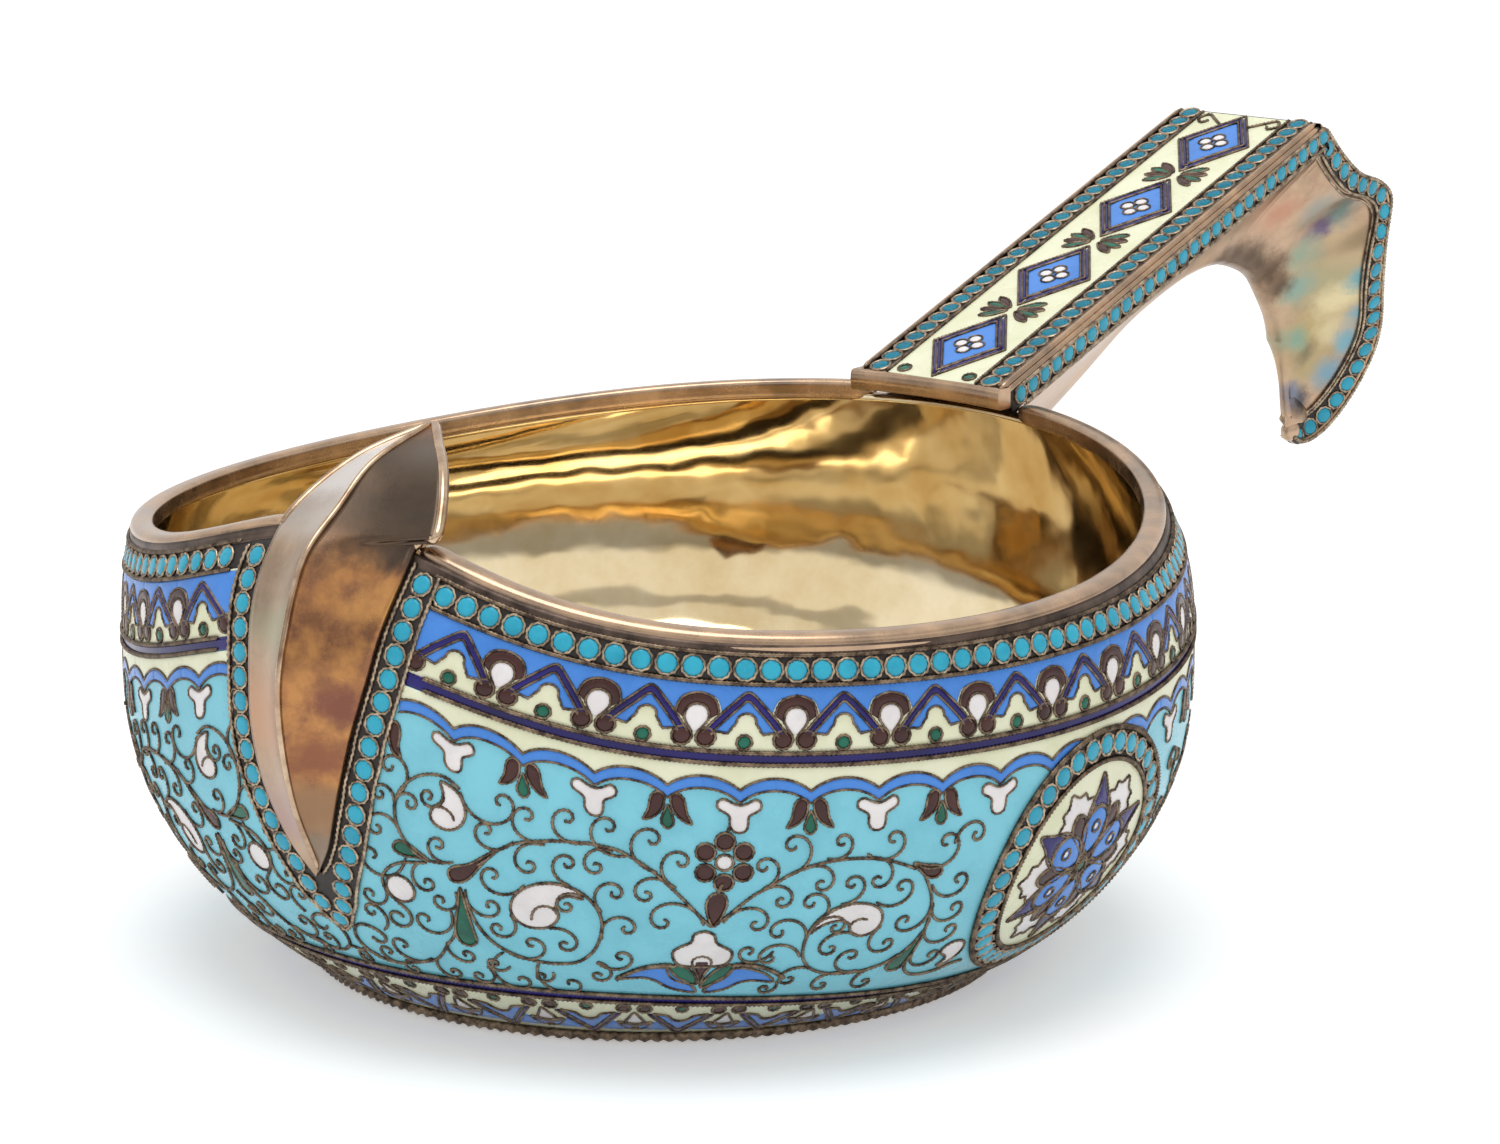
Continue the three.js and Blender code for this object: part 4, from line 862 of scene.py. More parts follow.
# Each tendril leaves a stem at one point and winds in round another, turning left (1) or right (-1)
TENDRILS = [
    (22.7, 30.5, 20.6, 32.4, -1), (25.8, 30.5, 24, 32.5, -1), (29, 29.4, 27.4, 31.9, -1),
    (31.4, 27.9, 31, 30.9, -1), (33, 26.4, 33.4, 28.9, -1), (32.7, 26.5, 30.5, 25.6, 1),
    (35.5, 22.4, 32, 22.7, 1), (26.5, 20.5, 28.7, 21.8, -1), (26.6, 23.6, 27.8, 25.6, -1),
    (24, 26.2, 23.9, 28.3, -1), (22, 29.9, 20.6, 27.9, 1), (27.7, 29.7, 26.3, 28.2, 1),
    (20, 25.9, 17.3, 26.6, -1), (19.3, 30, 17, 30.8, -1), (14.8, 34, 18.3, 33.5, 1),
    (14.6, 24.8, 16.7, 23.4, 1), (18.4, 22.6, 17, 20.9, -1), (17.2, 18.2, 19.9, 19.3, 1),
    (21.8, 21.4, 23, 19.5, -1), (25, 25.1, 23.6, 24, 1), (25.8, 17.4, 28.1, 18.3, 1),
    (25.9, 17.5, 25.8, 15.5, -1), (20.3, 16.9, 23, 14, 1), (21.4, 15.5, 20.2, 14.8, -1),
    (17, 17.8, 18, 13.9, 1), (17.2, 15.8, 15.7, 16.1, -1), (11.4, 18.2, 13.1, 16.9, 1),
    (14.8, 15.5, 13.5, 13.8, -1), (9.4, 15.3, 10.8, 13.9, 1), (13.4, 33.4, 11.9, 33.3, -1),
    (13.8, 27.4, 12.6, 28.9, -1), (9, 33, 8.3, 35.4, 1), (8.8, 31.2, 10.2, 32.3, -1),
    (8.7, 32.2, 7.3, 32.8, 1), (9.1, 29.5, 6.8, 29.6, 1), (9.3, 27.2, 6, 27, -1),
    (10.5, 26.9, 11.1, 25, 1), (13.6, 24.4, 12, 23.3, -1), (12.8, 22.2, 10, 20.9, -1),
    (6.5, 24.2, 4.8, 22.8, -1), (4.8, 18.5, 4.2, 20.6, 1), (8.9, 15.5, 6.3, 16.9, -1),
    (6, 14.5, 3.9, 15.4, -1), (7.2, 14.4, 5.9, 13.2, 1), (2.3, 14.1, 0.3, 13.4, 1),
    (42.3, 27.5, 42.7, 30.3, 1), (45.8, 29, 47, 30.5, 1), (49.4, 29.2, 51.7, 30.4, 1),
    (54, 27.9, 56.9, 29.5, 1), (57.8, 29.2, 60, 29.7, -1), (56.3, 25.3, 59, 25.5, 1),
    (57, 23.2, 59.6, 22.3, 1), (57.3, 21.3, 60.1, 19.5, 1), (57.3, 16.6, 59.9, 15.9, 1),
    (51, 24.1, 53.2, 25.5, 1), (56.8, 23, 54.5, 21.6, -1), (52.2, 21.3, 53.5, 18.9, 1),
    (51.8, 15.1, 50.3, 17.5, -1), (50.2, 20.2, 47.8, 18.8, 1), (45.5, 21.8, 47.6, 21.5, -1),
    (47.6, 24.2, 48.3, 26.3, 1), (49.4, 28.7, 50.7, 26.5, -1), (43.7, 28, 45.5, 26.5, -1),
    (40.3, 26, 42.1, 24.9, -1), (45.4, 22, 44.8, 24.5, 1), (44.9, 19.6, 42.4, 21.3, 1),
    (44.9, 18, 42, 18, 1), (37.2, 22.7, 40.1, 22.4, -1), (42.2, 19, 39.9, 19.1, -1),
    (40.4, 26.3, 40.3, 28.4, 1), (43.4, 14.4, 42.4, 13.3, -1), (46.8, 15.9, 44.7, 14.6, 1),
    (50.6, 14.7, 48.6, 13.1, 1), (54, 15.5, 53.6, 12.8, 1),
]

TENDRIL_STEPS, TENDRIL_TURNS, TENDRIL_TIGHTNESS, TENDRIL_END = 36, 1.3, 2.9, 0.32


def tendril(from_x, from_y, x, y, side):
    """A spiral from a place on a stem, winding in round x and y; side gives its turning."""
    reach = math.hypot(from_x - x, from_y - y)
    start = math.atan2(from_y - y, from_x - x)
    t = np.linspace(0, 1, TENDRIL_STEPS)
    turn = start + side * 2 * math.pi * TENDRIL_TURNS * t
    radius = TENDRIL_END + (reach - TENDRIL_END) * (1 - t) ** TENDRIL_TIGHTNESS
    return np.stack([x + radius * np.cos(turn), y + radius * np.sin(turn)], -1)


STEM_WIRE, TENDRIL_WIRE, FLOWER_WIRE = 0.15, 0.14, 0.13
PALMETTE_WIRE, STALK_WIRE = 0.22, 0.2
scrolls = Piece("scroll_wires", wire_metal)
for place in (on_field, on_rear):
    for stem in STEMS:
        wire(scrolls, place, stem, STEM_WIRE)
    for item in TENDRILS:
        wire(scrolls, place, tendril(*item), TENDRIL_WIRE, curved=False)

# The stem and tendrils at the middle of the rear, where the front has its prow
for item in [(1.5, 34.8, 4.6, 33.5, 1), (0.9, 30.5, 4.5, 28.9, 1), (0.9, 31.5, 3.8, 31.6, -1),
             (0.6, 26.2, 3.4, 25.4, 1), (0.5, 21.4, 2.6, 22.5, -1)]:
    wire(scrolls, on_rear, tendril(*item), TENDRIL_WIRE, curved=False)
wire(scrolls, on_rear, [(0.3, 19.4), (0.4, 22), (0.6, 26), (0.9, 30.5), (1.5, 34.8)], STEM_WIRE)

CELLS = {
    "white": [
        [(25, 24.9), (24.3, 25.9), (23, 26.3), (21.4, 26.2), (19.9, 25.5), (18.9, 24.5), (18.5, 23.2),
         (18.8, 22.2), (19.6, 21.5), (20.6, 21.3), (21.7, 21.5), (22.5, 22.2), (22.8, 23), (22.6, 23.8),
         (22.9, 24.6), (23.8, 25.1)],
        [(13.1, 34.7), (14.5, 34), (15.1, 33), (15.2, 31.8), (14.6, 30.8), (13.5, 30.4), (12.4, 30.8),
         (12, 31.6), (12.4, 32.4), (13, 32.8), (13.3, 33.6)],
        [(45.2, 21), (46, 22.7), (47.4, 23.8), (49, 24.2), (50.6, 23.9), (51.7, 23.1), (52.1, 22),
         (51.8, 20.9), (50.9, 20.3), (50, 20.3), (49.2, 20.9), (48.9, 21.8), (48.2, 22.3), (47.2, 22.3),
         (46.2, 21.9)],
        [(61, 16.6), (61.7, 17.3), (62.8, 17.3), (63.7, 16.6), (63.9, 15.4), (63.4, 14.2), (62.5, 13.4),
         (62, 13.6), (62.4, 14.6), (61.8, 15.3), (61.1, 15.8)],
        circle(8.2, 23.9, 1.4, 12),
        [(35.6, 21.7), (34.7, 21.3), (34.5, 20.4), (33.7, 19.9), (32.9, 19.2), (33, 18.1), (33.7, 17.3),
         (35.6, 17.1), (37.6, 17.3), (38.3, 18.1), (38.3, 19.1), (37.6, 19.7), (36.8, 20.3), (36.5, 21.3)],
        circle(37, 28.9, 0.75, 10),
    ],
    "green": [
        [(14.1, 24.9), (13.7, 23.3), (13, 21), (12.7, 19.4), (13.1, 18.4), (13.9, 18.2), (14.6, 18.8),
         (14.6, 20), (14.4, 22.5)],
        [(57.2, 19.9), (57.2, 17.2), (56.9, 14.8), (56.1, 14.2), (55.2, 14.6), (55.1, 15.6), (55.8, 16.9),
         (56.6, 18.3)],
        [(11.5, 27.3), (10.3, 27.4), (9.2, 27.4), (8.3, 27.8), (8.3, 28.4), (8.9, 28.8), (9.7, 28.6),
         (10.6, 28)],
        [(32.5, 17.2), (33.5, 17.3), (34.4, 16.8), (35.2, 15.6), (35.3, 14.4), (34.3, 14.6), (33.1, 15.2),
         (32.5, 16.2)],
        [(38.7, 17.2), (37.8, 17.2), (36.9, 16.4), (36.2, 15.2), (35.8, 13.8), (36.8, 14.4), (37.9, 15.2),
         (38.5, 16.2)],
    ],
    "brown": [
        [(18, 29.2), (16.6, 28.3), (15.2, 27.4), (13.8, 27), (13.2, 26.4), (13.4, 25.6), (14.3, 25.5),
         (15.2, 26.1), (16.2, 27.3), (17.2, 28.4)],
        [(54, 27.8), (55.3, 27.5), (56.5, 27.3), (57, 26.7), (56.6, 26.1), (55.6, 26.2), (54.9, 26.8)],
        [(36.3, 22.3), (35.8, 23.4), (35.6, 24.8), (36.1, 25.8), (37, 25.8), (37.4, 24.9), (37.1, 23.6),
         (36.6, 22.6)],
        [(35.6, 18.6), (34.8, 18.2), (34.8, 17.2), (35.3, 16), (35.7, 14.4), (36, 16), (36.5, 17.2),
         (36.4, 18.2)],
        [(8.3, 39.2), (9.1, 39.4), (9.4, 38.5), (9.2, 37.3), (9.4, 36.3), (8.7, 36.7), (8.3, 38)],
    ],
    "blue": [
        [(35.4, 13.1), (34, 13.3), (32.6, 13.9), (31.4, 14.9), (30.3, 15.4), (29, 15.3), (27.5, 15.1),
         (28.5, 16), (30, 16.7), (31.6, 17), (32.6, 16.8), (33.4, 15.6), (34.6, 14.6)],
        [(36.2, 13.1), (37.6, 13.2), (38.6, 13.7), (39.5, 14.5), (40.5, 14.8), (41.6, 14.7), (43.1, 14.4),
         (42.2, 15.6), (41.1, 16.3), (39.8, 16.8), (38.7, 16.7), (38, 15.6), (37, 14.6)],
    ],
}
FLOWER_X, FLOWER_Y, PALMETTE_X = 37, 28.9, 35.8
petals = [circle(FLOWER_X + 1.85 * math.cos(turn), FLOWER_Y + 1.95 * math.sin(turn), 0.82, 12)
          for turn in np.radians(np.arange(30, 390, 60))]
CELLS["brown"] += petals
palette = {"white": white_cells, "green": green_cells, "brown": brown_cells, "blue": blue_cells}
curls = [[(22.8, 23), (22.2, 23.8), (21.2, 23.8), (20.5, 23.1), (20.3, 22.2)],
         [(48.9, 21.4), (49.2, 22.1), (49.9, 22.4), (50.6, 22.2)],
         [(12.4, 32.4), (13.3, 32.4), (14, 31.9), (14.2, 31.3)]]
stalks = [[(36.5, 25.9), (36.7, 26.4), (36.9, 26.9)], [(37.2, 31.8), (37.4, 32.2)]]
palmette_arc = [(8.3, 15), (6.9, 16.2), (5.4, 17), (3.6, 17.4), (2.6, 17.2)]
for place, flip in ((on_field, False), (on_rear, True)):
    for colour, outlines in CELLS.items():
        for outline in outlines:
            walled_cell(palette[colour], fine_wires, place, outline, FLOWER_WIRE, flip=flip)
    for side in (1, -1):
        wire(fine_wires, place, [(PALMETTE_X + side * x, y) for x, y in palmette_arc], PALMETTE_WIRE)
    for curl in curls:
        wire(scrolls, place, curl, TENDRIL_WIRE)
    for stalk in stalks:
        wire(scrolls, place, stalk, STALK_WIRE)


def cell_pieces(pattern):
    """An empty piece for each colour of enamel."""
    return {colour: Piece(pattern.format(colour), mat) for colour, mat in ENAMELS.items()}


# Lower border: tents of blue and cobalt, with a tear, a moon and two dots between them
LOWER_COUNT = 29
FIRST_TENT = math.radians(28.6) * REF
LOWER_STEP = 0.4
lower_pitch = 2 * HALF_TURN / LOWER_COUNT
tents = FIRST_TENT + lower_pitch * np.arange(LOWER_COUNT)
between = tents + lower_pitch / 2
lower_cells = cell_pieces("lower_{}_cells")
lower_wires = Piece("lower_cell_wires", wire_metal)
v_out = arch([(-3.7, -2.5), (-2.5, -4.2), (-1.2, -5.9), (0, -7.2)], LOWER_STEP)
v_in = arch([(-3.1, -2.4), (-2, -3.9), (-0.9, -5.4), (0, -6.4)], LOWER_STEP)
niche_low = arch([(-3.1, -2.4), (-2.2, -2.6), (-1.4, -2.9), (-0.9, -3.7), (0, -4.1)], LOWER_STEP)
edge = lower_pitch / 2
foot_level = -LOWER_DRAWN_HEIGHT
sky_low = np.concatenate([straight([(-edge, foot_level), (edge, foot_level)], 0.6),
                          smooth([(edge, -5.4), (edge - 1.6, -5.0), (2.4, -4.3)], LOWER_STEP),
                          smooth([(1.2, -5.9), (0, -7.0), (-1.2, -5.9)], LOWER_STEP),
                          smooth([(-2.4, -4.3), (1.6 - edge, -5.0), (-edge, -5.4)], LOWER_STEP)])
cell(lower_cells["blue"], on_lower, sky_low, tents, curved=False)
cell(lower_cells["cobalt"], on_lower, np.concatenate([v_out, v_in[::-1]]), tents, 0.15, False)
cell(lower_cells["blue"], on_lower, np.concatenate([v_in, niche_low[::-1][1:-1]]), tents, curved=False)
for line in (v_out, v_in, niche_low):
    wire(lower_wires, on_lower, line, CELL_WIRE, curved=False, shifts=tents)
dot(lower_cells["green"], lower_wires, on_lower, 0, -1.25, 0.55, shifts=tents)
for side in (-1.15, 1.15):
    dot(lower_cells["brown"], lower_wires, on_lower, side, -1.4, 0.68, more=4, shifts=between)
tear = [(0, -2.3), (-0.6, -3.4), (-1.05, -4.5), (0, -4.9), (1.05, -4.5), (0.6, -3.4)]
moon = [(-2.0, -4.6), (-1.05, -4.7), (0, -5.0), (1.05, -4.7), (2.0, -4.6), (1.3, -5.8), (0, -6.3),
        (-1.3, -5.8)]
walled_cell(lower_cells["white"], lower_wires, on_lower, tear, CELL_WIRE, between)
walled_cell(lower_cells["brown"], lower_wires, on_lower, moon, CELL_WIRE, between)
for piece in (*lower_cells.values(), lower_wires):
    piece.make()

# Medallions: a rosette of six petals on cream enamel, in a ring of beads
FRAME_OUT = 13.18
FRAME_IN = FRAME_OUT - 2.75
FRAME_SIDES, FRAME_BEADS = 144, 34
# The frame's section, by its radius and its height off the bowl
FRAME_SECTION = ((FRAME_OUT + 0.1, -0.3), (FRAME_OUT + 0.1, 0.14), (12.0, 0.16), (FRAME_IN, 0.14),
                 (FRAME_IN - 0.2, -0.3))
disk = Piece("medallion_enamel", cream)
rosette = cell_pieces("rosette_{}")
frame_ground = Piece("medallion_frame_ground", dark_ground)
medal_wires = Piece("medallion_wires", wire_metal)
cell(disk, on_medallion, circle(0, 0, FRAME_IN, 72), curved=False, high=0.16)
round_frame = circle(0, 0, 1, FRAME_SIDES)
ring_rows = [on_medallion(*(radius * round_frame.T), lift) for radius, lift in FRAME_SECTION]
frame_ground.add(np.stack(ring_rows), grid_faces(len(ring_rows), FRAME_SIDES, True)[:, ::-1])
for radius, thick in ((FRAME_IN - 0.1, 0.2), (FRAME_OUT, 0.24)):
    wire(medal_wires, on_medallion, circle(0, 0, radius, 120), thick, closed=True, curved=False, lift=0.25)
bead_turn = 2 * math.pi * (np.arange(FRAME_BEADS) + 0.5) / FRAME_BEADS
bead_path = np.stack([np.cos(bead_turn), np.sin(bead_turn)], -1) * (FRAME_OUT + FRAME_IN) / 2
where, normals = laid(on_medallion, bead_path, 0.16)
bead_row(domes, rings, where, normals, np.roll(where, -1, 0) - where, FRAME_BEAD_RADIUS)


def turned(points, angle):
    points = np.asarray(points, float)
    c, s = math.cos(angle), math.sin(angle)
    return np.stack([points[:, 0] * c - points[:, 1] * s, points[:, 0] * s + points[:, 1] * c], -1)


petal = [(0, 1.4), (-0.9, 2.0), (-1.7, 3.2), (-1.75, 4.6), (-1.2, 5.6), (0, 6.1), (1.2, 5.6), (1.75, 4.6),
         (1.7, 3.2), (0.9, 2.0)]
spear = [(-1.75, 4.9), (-1.6, 6.2), (-0.8, 7.6), (0, 9.3), (0.8, 7.6), (1.6, 6.2), (1.75, 4.9), (1.1, 5.8),
         (0, 6.2), (-1.1, 5.8)]
brown_petal = [(0, 1.6), (-0.45, 3), (-0.95, 4.6), (-0.95, 5.8), (0, 6.6), (0.95, 5.8), (0.95, 4.6),
               (0.45, 3)]
lobes = [(-1.0, 5.3), (-2.0, 5.9), (-2.5, 6.9), (-1.7, 7.3), (-1.7, 8.1), (-0.8, 8.3), (0, 9.2), (0.8, 8.3),
         (1.7, 8.1), (1.7, 7.3), (2.5, 6.9), (2.0, 5.9), (1.0, 5.3), (0.8, 6.1), (0, 6.7), (-0.8, 6.1)]
for k in range(6):
    turn = k * math.pi / 3
    next_turn = turn + math.pi / 6
    for colour, outline, high in (("blue", petal, 0.26), ("cobalt", spear, 0.24)):
        walled_cell(rosette[colour], medal_wires, on_medallion, turned(outline, turn), CELL_WIRE,
                    high=high, lift=0.22)
    eye = turned([(0, 4.2)], turn)[0]
    dot(rosette["white"], medal_wires, on_medallion, *eye, 0.5, sides=12, high=0.32, lift=0.28, curved=True)
    for colour, outline in (("white", lobes), ("brown", brown_petal)):
        walled_cell(rosette[colour], medal_wires, on_medallion, turned(outline, next_turn), CELL_WIRE,
                    high=0.22, lift=0.2)
    small = turned([(0, 1.35)], next_turn)[0]
    dot(rosette["brown"], medal_wires, on_medallion, *small, 0.5, 0.06, 12, high=0.26, lift=0.22, curved=True)
dot(rosette["green"], medal_wires, on_medallion, 0, 0, 0.6, sides=12, high=0.3, lift=0.26, curved=True)
disk.mirror().make(["medallion_right", "medallion_left"])
frame_ground.mirror().make(["medallion_frame_right", "medallion_frame_left"])
medal_wires.mirror().make(["medallion_inner_wire_right", "medallion_inner_wire_left",
                           "medallion_outer_wire_right", "medallion_outer_wire_left"])
for piece in rosette.values():
    piece.mirror().make()


# Prow
class Curve3:
    """three.js's centripetal Catmull-Rom curve, read by share of its length."""

    def __init__(self, points):
        points = np.asarray(points, float)
        first = 2 * points[0] - points[1]
        last = 2 * points[-1] - points[-2]
        self.points = np.concatenate([[first], points, [last]])
        self.dense = np.array([self.at(t) for t in np.linspace(0, 1, 600)])
        reached = lengths(self.dense)
        self.share = reached / reached[-1]

    def at(self, t):
        place = min(t, 0.999999) * (len(self.points) - 3)
        i = int(place)
        w = place - i
        p = self.points[i:i + 4]
        d = [max(np.linalg.norm(p[k + 1] - p[k]), 1e-4) ** 0.5 for k in range(3)]
        t1 = ((p[1] - p[0]) / d[0] - (p[2] - p[0]) / (d[0] + d[1]) + (p[2] - p[1]) / d[1]) * d[1]
        t2 = ((p[2] - p[1]) / d[1] - (p[3] - p[1]) / (d[1] + d[2]) + (p[3] - p[2]) / d[2]) * d[1]
        a = 2 * p[1] - 2 * p[2] + t1 + t2
        b = -3 * p[1] + 3 * p[2] - 2 * t1 - t2
        return p[1] + t1 * w + b * w * w + a * w ** 3

    def spots(self, shares):
        return np.stack([np.interp(shares, self.share, self.dense[:, k]) for k in range(3)], -1)


PROW_FOOT, PROW_RIM = 16.9, 46.8
BORDER_FOOT, BORDER_TOP = 11.1, 46.6
TIP = np.array([-31.4, 0, 54.3])
RIGHT_FREE_EDGE = [(-43.8, -10.6, 47.5), (-41.5, -9.4, 49.6), (-38.5, -7.0, 52.1), (-34.0, -2.5, 53.6)]
RIDGE_REACH, RIDGE_HEIGHT = 19.6, 37.4

# Heights, each with half the width of the prow's faces, half that over the borders, or the lean
PROW_HALF = ((16.9, 0), (18.2, 1.2), (20.4, 2.4), (24.2, 3.9), (28.8, 5.2), (35, 6.3), (39.7, 7.05),
             (43, 7.6), (46.8, 8.0))
BORDER_HALF = ((11.1, 0), (12, 1.3), (14.3, 3.1), (19.2, 5.4), (23.5, 7.0), (28, 8.3), (33.6, 9.3),
               (38.6, 10.2), (43, 10.9), (46.6, 11.2))
PROW_LEAN = ((11, 0), (15, -0.3), (20, -0.3), (26, -0.8), (30, -0.7), (35, 0), (40, 0.4), (43, 0.8),
             (46.8, 1.3), (54.3, 0))


def read_table(rows, z):
    heights, values = zip(*rows)
    return np.interp(z, heights, values)


def prow_half(z):
    return read_table(PROW_HALF, z)


def border_half(z):
    return read_table(BORDER_HALF, z)


def prow_lean(z):
    """How far the prow, shaped by hand, leans to the right at a height."""
    return read_table(PROW_LEAN, z)


def on_prow(half, z, h, side=1):
    """A place on the bowl at a distance from the prow's middle, on its right (1) or left (-1)."""
    return skin(np.arcsin((side * half + prow_lean(z)) / WIDEST_X), z, h)


ridge = Curve3([(TIP[0] - RIDGE_REACH * reach, 0, PROW_FOOT + RIDGE_HEIGHT * height) for reach, height in (
    (0.79, 0), (0.97, 0.2), (1.05, 0.45), (1.0, 0.59), (0.86, 0.76), (0.63, 0.856), (0.42, 0.936), (0, 1))])
edge_heights = np.linspace(PROW_FOOT, PROW_RIM, 12)


def prow_edge(side):
    """The outer edge of one face: along the bowl, then free from the rim to the tip."""
    points = on_prow(prow_half(edge_heights), edge_heights, 0.8, side)
    free_part = RIGHT_FREE_EDGE if side > 0 else [(points[-1] + TIP) / 2 + (0, 0.9, 0.7)]
    return Curve3(np.concatenate([points, free_part, [TIP]]))


edges = {side: prow_edge(side) for side in (1, -1)}

# The prow's two faces are one metal. The right face's orange ground, unlike the left's beige, and its orange
# spot low down are painted reflected light; its dark spots over the upper part are a painted reflection of dark
# surroundings.
prow_right = patina_and_painted_light("prow_right_patina_and_painted_light", "ba8450", "8b5f43", (
    ((-48.5, 47.5), 3.4, "6a5440"), ((-44, 49), 5.0, "564638"), ((-40, 50), 6.0, "4d4136"),
    ((-36, 52), 5.0, "5b4d40"), ((-43.5, 45), 2.6, "50433a"), ((-45.8, 41), 2.4, "c99257"),
    ((-49, 33), 2.0, "7a4c3f"), ((-50, 28.5), 2.0, "87563f"), ((-49.5, 23.5), 3.0, "8f6f54"),
    ((-48, 19), 3.4, "857666")), size=2.6, warp=6.0, metallic=0.75)
# On the left face the near-white spots over the upper part are painted reflections of the white surroundings,
# and its paler beige ground is painted light against the right face.
prow_left = patina_and_painted_light("prow_left_patina_and_painted_light", "b79f88", "9b8570", (
    ((-36, 53), 4.0, "ece8e6"), ((-40, 51), 4.0, "e2dcd8"), ((-44.5, 48.5), 3.0, "c9bfb6"),
    ((-50, 39), 3.0, "a9a288"), ((-51, 31), 5.0, "b58d70"), ((-50, 22), 4.0, "a88e86")), size=5.0)
pale_edge = material("pale_worn_edge", "d3b99c", "9d7f66", metallic=1.0, rough=0.25, size=3.0, bump=0.004)
FACE_SAG, FACE_THICKNESS = 0.6, 0.55


def prow_face(name, mat, side, replaces):
    """One of the prow's two faces, which sag a little between the ridge and the outer edge."""
    shares = np.linspace(0.0, 1.0, 90)
    from_ridge, to_edge = ridge.spots(shares), edges[side].spots(shares)
    along = unit(np.gradient(from_ridge, axis=0))
    inward = unit(np.stack([along[:, 2], 0 * shares, -along[:, 0]], -1))
    across = np.linspace(0, 1, 16)
    flat = from_ridge[:, None] + (to_edge - from_ridge)[:, None] * across[None, :, None]
    sag = FACE_SAG * np.sin(math.pi * across)[None] * np.sin(math.pi * shares)[:, None]
    layers = [flat + inward[:, None] * (sag + depth)[..., None] for depth in (0.0, FACE_THICKNESS)]
    piece = Piece(name, mat)
    add_sheet(piece, *layers, flip=side > 0)
    piece.make(replaces)


prow_face("prow_right_face", prow_right, 1, ["prow_face_right"])
prow_face("prow_left_face", prow_left, -1, ["prow_face_left"])

# Pale worn metal along the ridge and both free edges
RIDGE_ROD, EDGE_ROD = 0.28, 0.42
trim = Piece("prow_trim", pale_edge)
ridge_path = ridge.spots(np.linspace(0.01, 0.995, 160))
rod(trim, ridge_path, np.tile([0.0, 1, 0], (len(ridge_path), 1)), RIDGE_ROD, step=0.4, sides=10)
free = {side: float(np.interp(PROW_RIM, edges[side].dense[:, 2], edges[side].share)) for side in (1, -1)}
for side in (1, -1):
    path = edges[side].spots(np.linspace(free[side] - 0.01, 0.997, 70)) + (0.3, 0, -0.1)
    rod(trim, path, np.tile([1.0, 0, 0], (len(path), 1)), EDGE_ROD, step=0.4, sides=10)
trim.make()

BACK_OUTSIDE, BACK_INSIDE = 0.5, 1.1
BACK_RIGHT, BACK_LEFT, BACK_BULGE = 10.4, 8.6, 2


def prow_back():
    """The sheet that closes the prow's back above the rim."""
    shares = np.linspace(0, 1, 40)
    right, left = (edges[side].spots(free[side] + (0.99 - free[side]) * shares) for side in (1, -1))
    across = np.linspace(0, 1, 21)
    angles = np.interp(across, [0, 1], [math.asin(BACK_RIGHT / RIM_X), -math.asin(BACK_LEFT / RIM_X)])
    x, y = rim_plan(angles, 0.9)
    part = across[None, :, None]
    layers = []
    for depth in (BACK_OUTSIDE, BACK_INSIDE):
        sheet = right[:, None] * (1 - part) + left[:, None] * part + np.array([depth, 0, -0.2 * depth])
        sheet[..., 0] -= BACK_BULGE * across * (1 - across)
        foot = np.stack([x + depth, y, rim(angles) - 0.5], -1)
        layers.append(np.concatenate([foot[None], sheet]))
    piece = Piece("prow_back", silver_gilt)
    add_sheet(piece, *layers)
    piece.make(["prow_back_plate"])


prow_back()

# The bead border round the prow
border = Piece("prow_border_ground", dark_ground)
heights = BORDER_FOOT + (BORDER_TOP - BORDER_FOOT) * np.linspace(0, 1, 70) ** 1.3
columns = np.linspace(-1, 1, 41)
middle = np.arcsin((border_half(heights)[:, None] * columns + prow_lean(heights)[:, None]) / WIDEST_X)
level = np.minimum(heights[:, None], rim(middle) - 1.2)
add_sheet(border, *[skin(middle, level, lift) for lift in (0.1, -0.4)])
border.make(["prow_bead_border_right", "prow_bead_border_left"])

BORDER_WIRE, INNER_WIRE_GAP = 0.17, 0.4
border_wires = Piece("prow_border_wires", ring_metal)
for side in (1, -1):
    for half_width, foot, gap, top in ((prow_half, PROW_FOOT, INNER_WIRE_GAP, 45.2),
                                       (border_half, BORDER_FOOT, 0, 44.3)):
        z = foot + (top - foot) * np.linspace(0, 1, 160) ** 1.6
        where = on_prow(half_width(z) + gap, z, 0.2, side)
        normals = on_prow(half_width(z) + gap, z, 1.2, side) - where
        rod(border_wires, where, normals, BORDER_WIRE, 0.35, pitch=0.6)
border_wires.make(["prow_border_inner_wire_right", "prow_border_inner_wire_left",
                   "prow_border_outer_wire_right", "prow_border_outer_wire_left"])

# Its beads go up both sides from one at the point to the row under the rim
FIRST_LOW, LAST_LOW, PARTED = 12.3, 43.6, 14.1
border_beads = Piece("border_beads", bead_blue), Piece("border_bead_rings", ring_metal)
z = np.linspace(FIRST_LOW, LAST_LOW, 300)
for side, start in ((1, 0.0), (-1, 2.2)):
    parted = np.interp(z, [FIRST_LOW, PARTED], [0, 1])
    half_width = parted * (prow_half(z) + INNER_WIRE_GAP + border_half(z)) / 2
    reached = lengths(on_prow(half_width, z, 0.1, side))
    count = int((reached[-1] - start) / BEAD_PITCH)
    marks = np.linspace(start, reached[-1], count + 1)
    bead_z, bead_half = np.interp(marks, reached, z), np.interp(marks, reached, half_width)
    where = on_prow(bead_half, bead_z, 0.1, side)
    bead_row(*border_beads, where, on_prow(bead_half, bead_z, 1.1, side) - where,
             on_prow(bead_half, bead_z + 0.5, 0.1, side) - where, np.interp(marks, [0, 8], [0.9, 0.98]))
for piece in border_beads:
    piece.make()

